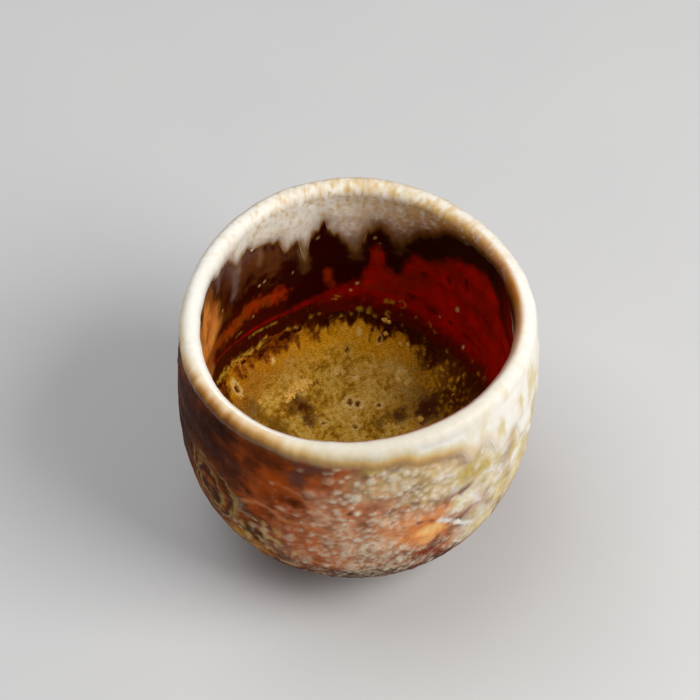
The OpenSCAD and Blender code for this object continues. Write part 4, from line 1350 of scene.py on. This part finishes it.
def ash_coat_material():
    shader = Shader("ash_coat")
    cloud = shader.noise(1.6, 5)
    colour = shader.mix(shader.span(cloud, 0.4, 0.75, 0, 0.4), shader.attribute("tone"),
                        (0.60, 0.42, 0.30), "MULTIPLY")
    dots = shader.span(shader.cells(0.95), 0.22, 0.40, 1, 0)
    gaps = shader.span(shader.noise(2.5, 3), 0.42, 0.55, 0, 1)
    grain = shader.times(shader.times(dots, gaps), shader.attribute("grain", "Fac"))
    colour = shader.mix(shader.times(grain, 0.5), colour, CREAM)
    shader.bump(grain, 0.15, 0.8)
    shader.bump(shader.noise(0.8, 5), 0.14, 0.7)
    return shader.finish(colour, shader.span(cloud, 0.3, 0.8, 0.40, 0.6), 0.02)


def clay_material(name, grit):
    shader = Shader(name)
    grain = shader.noise(0.5, 5)
    colour = shader.mix(shader.span(grain, 0.35, 0.7, 0.5, 0), shader.attribute("tone"), srgb(84, 50, 32))
    shader.bump(shader.noise(grit, 5), 0.18, 0.8)
    return shader.finish(colour, shader.span(grain, 0.3, 0.7, 0.92, 0.75), 0.25)


# Pieces: maker, material, node that the piece stands for and slot of its finish
PIECES = (
    (clay_body, clay_material("bare_clay", 0.9), "clay_body", "clay"),
    (foot_ring, clay_material("foot_clay", 0.6), "foot_ring", "foot_clay"),
    (rim_glaze, white_glaze_material(), "rim_glaze", "white_glaze"),
    (inner_glaze, iron_glaze_material(), "inner_glaze", "iron_glaze"),
    (ash_pool, ash_glass_material(), "ash_pool", "ash_glass"),
    (kiln_crumbs, ash_crust_material(), "kiln_crumbs", "ash_crust"),
    (outer_glaze, ash_coat_material(), "outer_glaze", "ash_coat"),
)

for maker, material, node, slot in PIECES:
    piece = maker()
    piece.data.materials.append(material)
    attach(piece, "root")
    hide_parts(node)


# Floor, light and camera, in metres

def floor():
    half = 3.0
    mesh = bpy.data.meshes.new("floor")
    corners = [(-half, -half, 0), (half, -half, 0), (half, half, 0), (-half, half, 0)]
    mesh.from_pydata(corners, [], [(0, 1, 2, 3)])
    shader = Shader("pale_floor")
    shade = shader.noise(60, 2)
    colour = shader.mix(shader.span(shade, 0.3, 0.7), (0.60, 0.60, 0.60), (0.62, 0.62, 0.615))
    mesh.materials.append(shader.finish(colour, 0.7, 0.3))
    plane = bpy.data.objects.new("floor", mesh)
    bpy.context.scene.collection.objects.link(plane)


LAMP_AIM_Z = 0.04


def area_light(name, azimuth, elevation, distance, size, watts, colour):
    """Soft box that looks at the cup from a direction in degrees."""
    data = bpy.data.lights.new(name, "AREA")
    data.shape = "SQUARE"
    data.size = size
    data.energy = watts
    data.color = colour
    lamp = bpy.data.objects.new(name, data)
    bpy.context.scene.collection.objects.link(lamp)
    level = cos(radians(elevation))
    away = Vector((level * cos(radians(azimuth)), level * sin(radians(azimuth)), sin(radians(elevation))))
    lamp.location = Vector((0, 0, LAMP_AIM_Z)) + distance * away
    lamp.rotation_euler = (-away).to_track_quat("-Z", "Y").to_euler()


def light():
    area_light("key_box", azimuth=-25, elevation=45, distance=0.8, size=0.45, watts=5.6,
               colour=(1.0, 0.98, 0.95))
    area_light("top_fill", azimuth=150, elevation=68, distance=0.9, size=0.7, watts=3.4,
               colour=(0.97, 0.98, 1.0))
    world = bpy.data.worlds.new("studio")
    world.use_nodes = True
    background = world.node_tree.nodes["Background"].inputs
    background["Color"].default_value = (0.95, 0.97, 1.0, 1)
    background["Strength"].default_value = 0.26
    bpy.context.scene.world = world


def camera():
    """Camera at the photograph's angle: 51 degrees above the level, from the front."""
    elevation, distance = radians(51), 0.6
    focal_pixels, frame_pixels, sensor = 2644.0, 700.0, 36.0
    target = Vector((-1.16, 0, 55.97)) * MM
    data = bpy.data.cameras.new("camera")
    data.sensor_width = sensor
    data.lens = focal_pixels / frame_pixels * sensor
    view = bpy.data.objects.new("camera", data)
    bpy.context.scene.collection.objects.link(view)
    away = Vector((0, -cos(elevation), sin(elevation)))
    view.location = target + distance * away
    view.rotation_euler = (-away).to_track_quat("-Z", "Y").to_euler()
    bpy.context.scene.camera = view


floor()
light()
camera()
bpy.context.scene.view_settings.view_transform = "Standard"
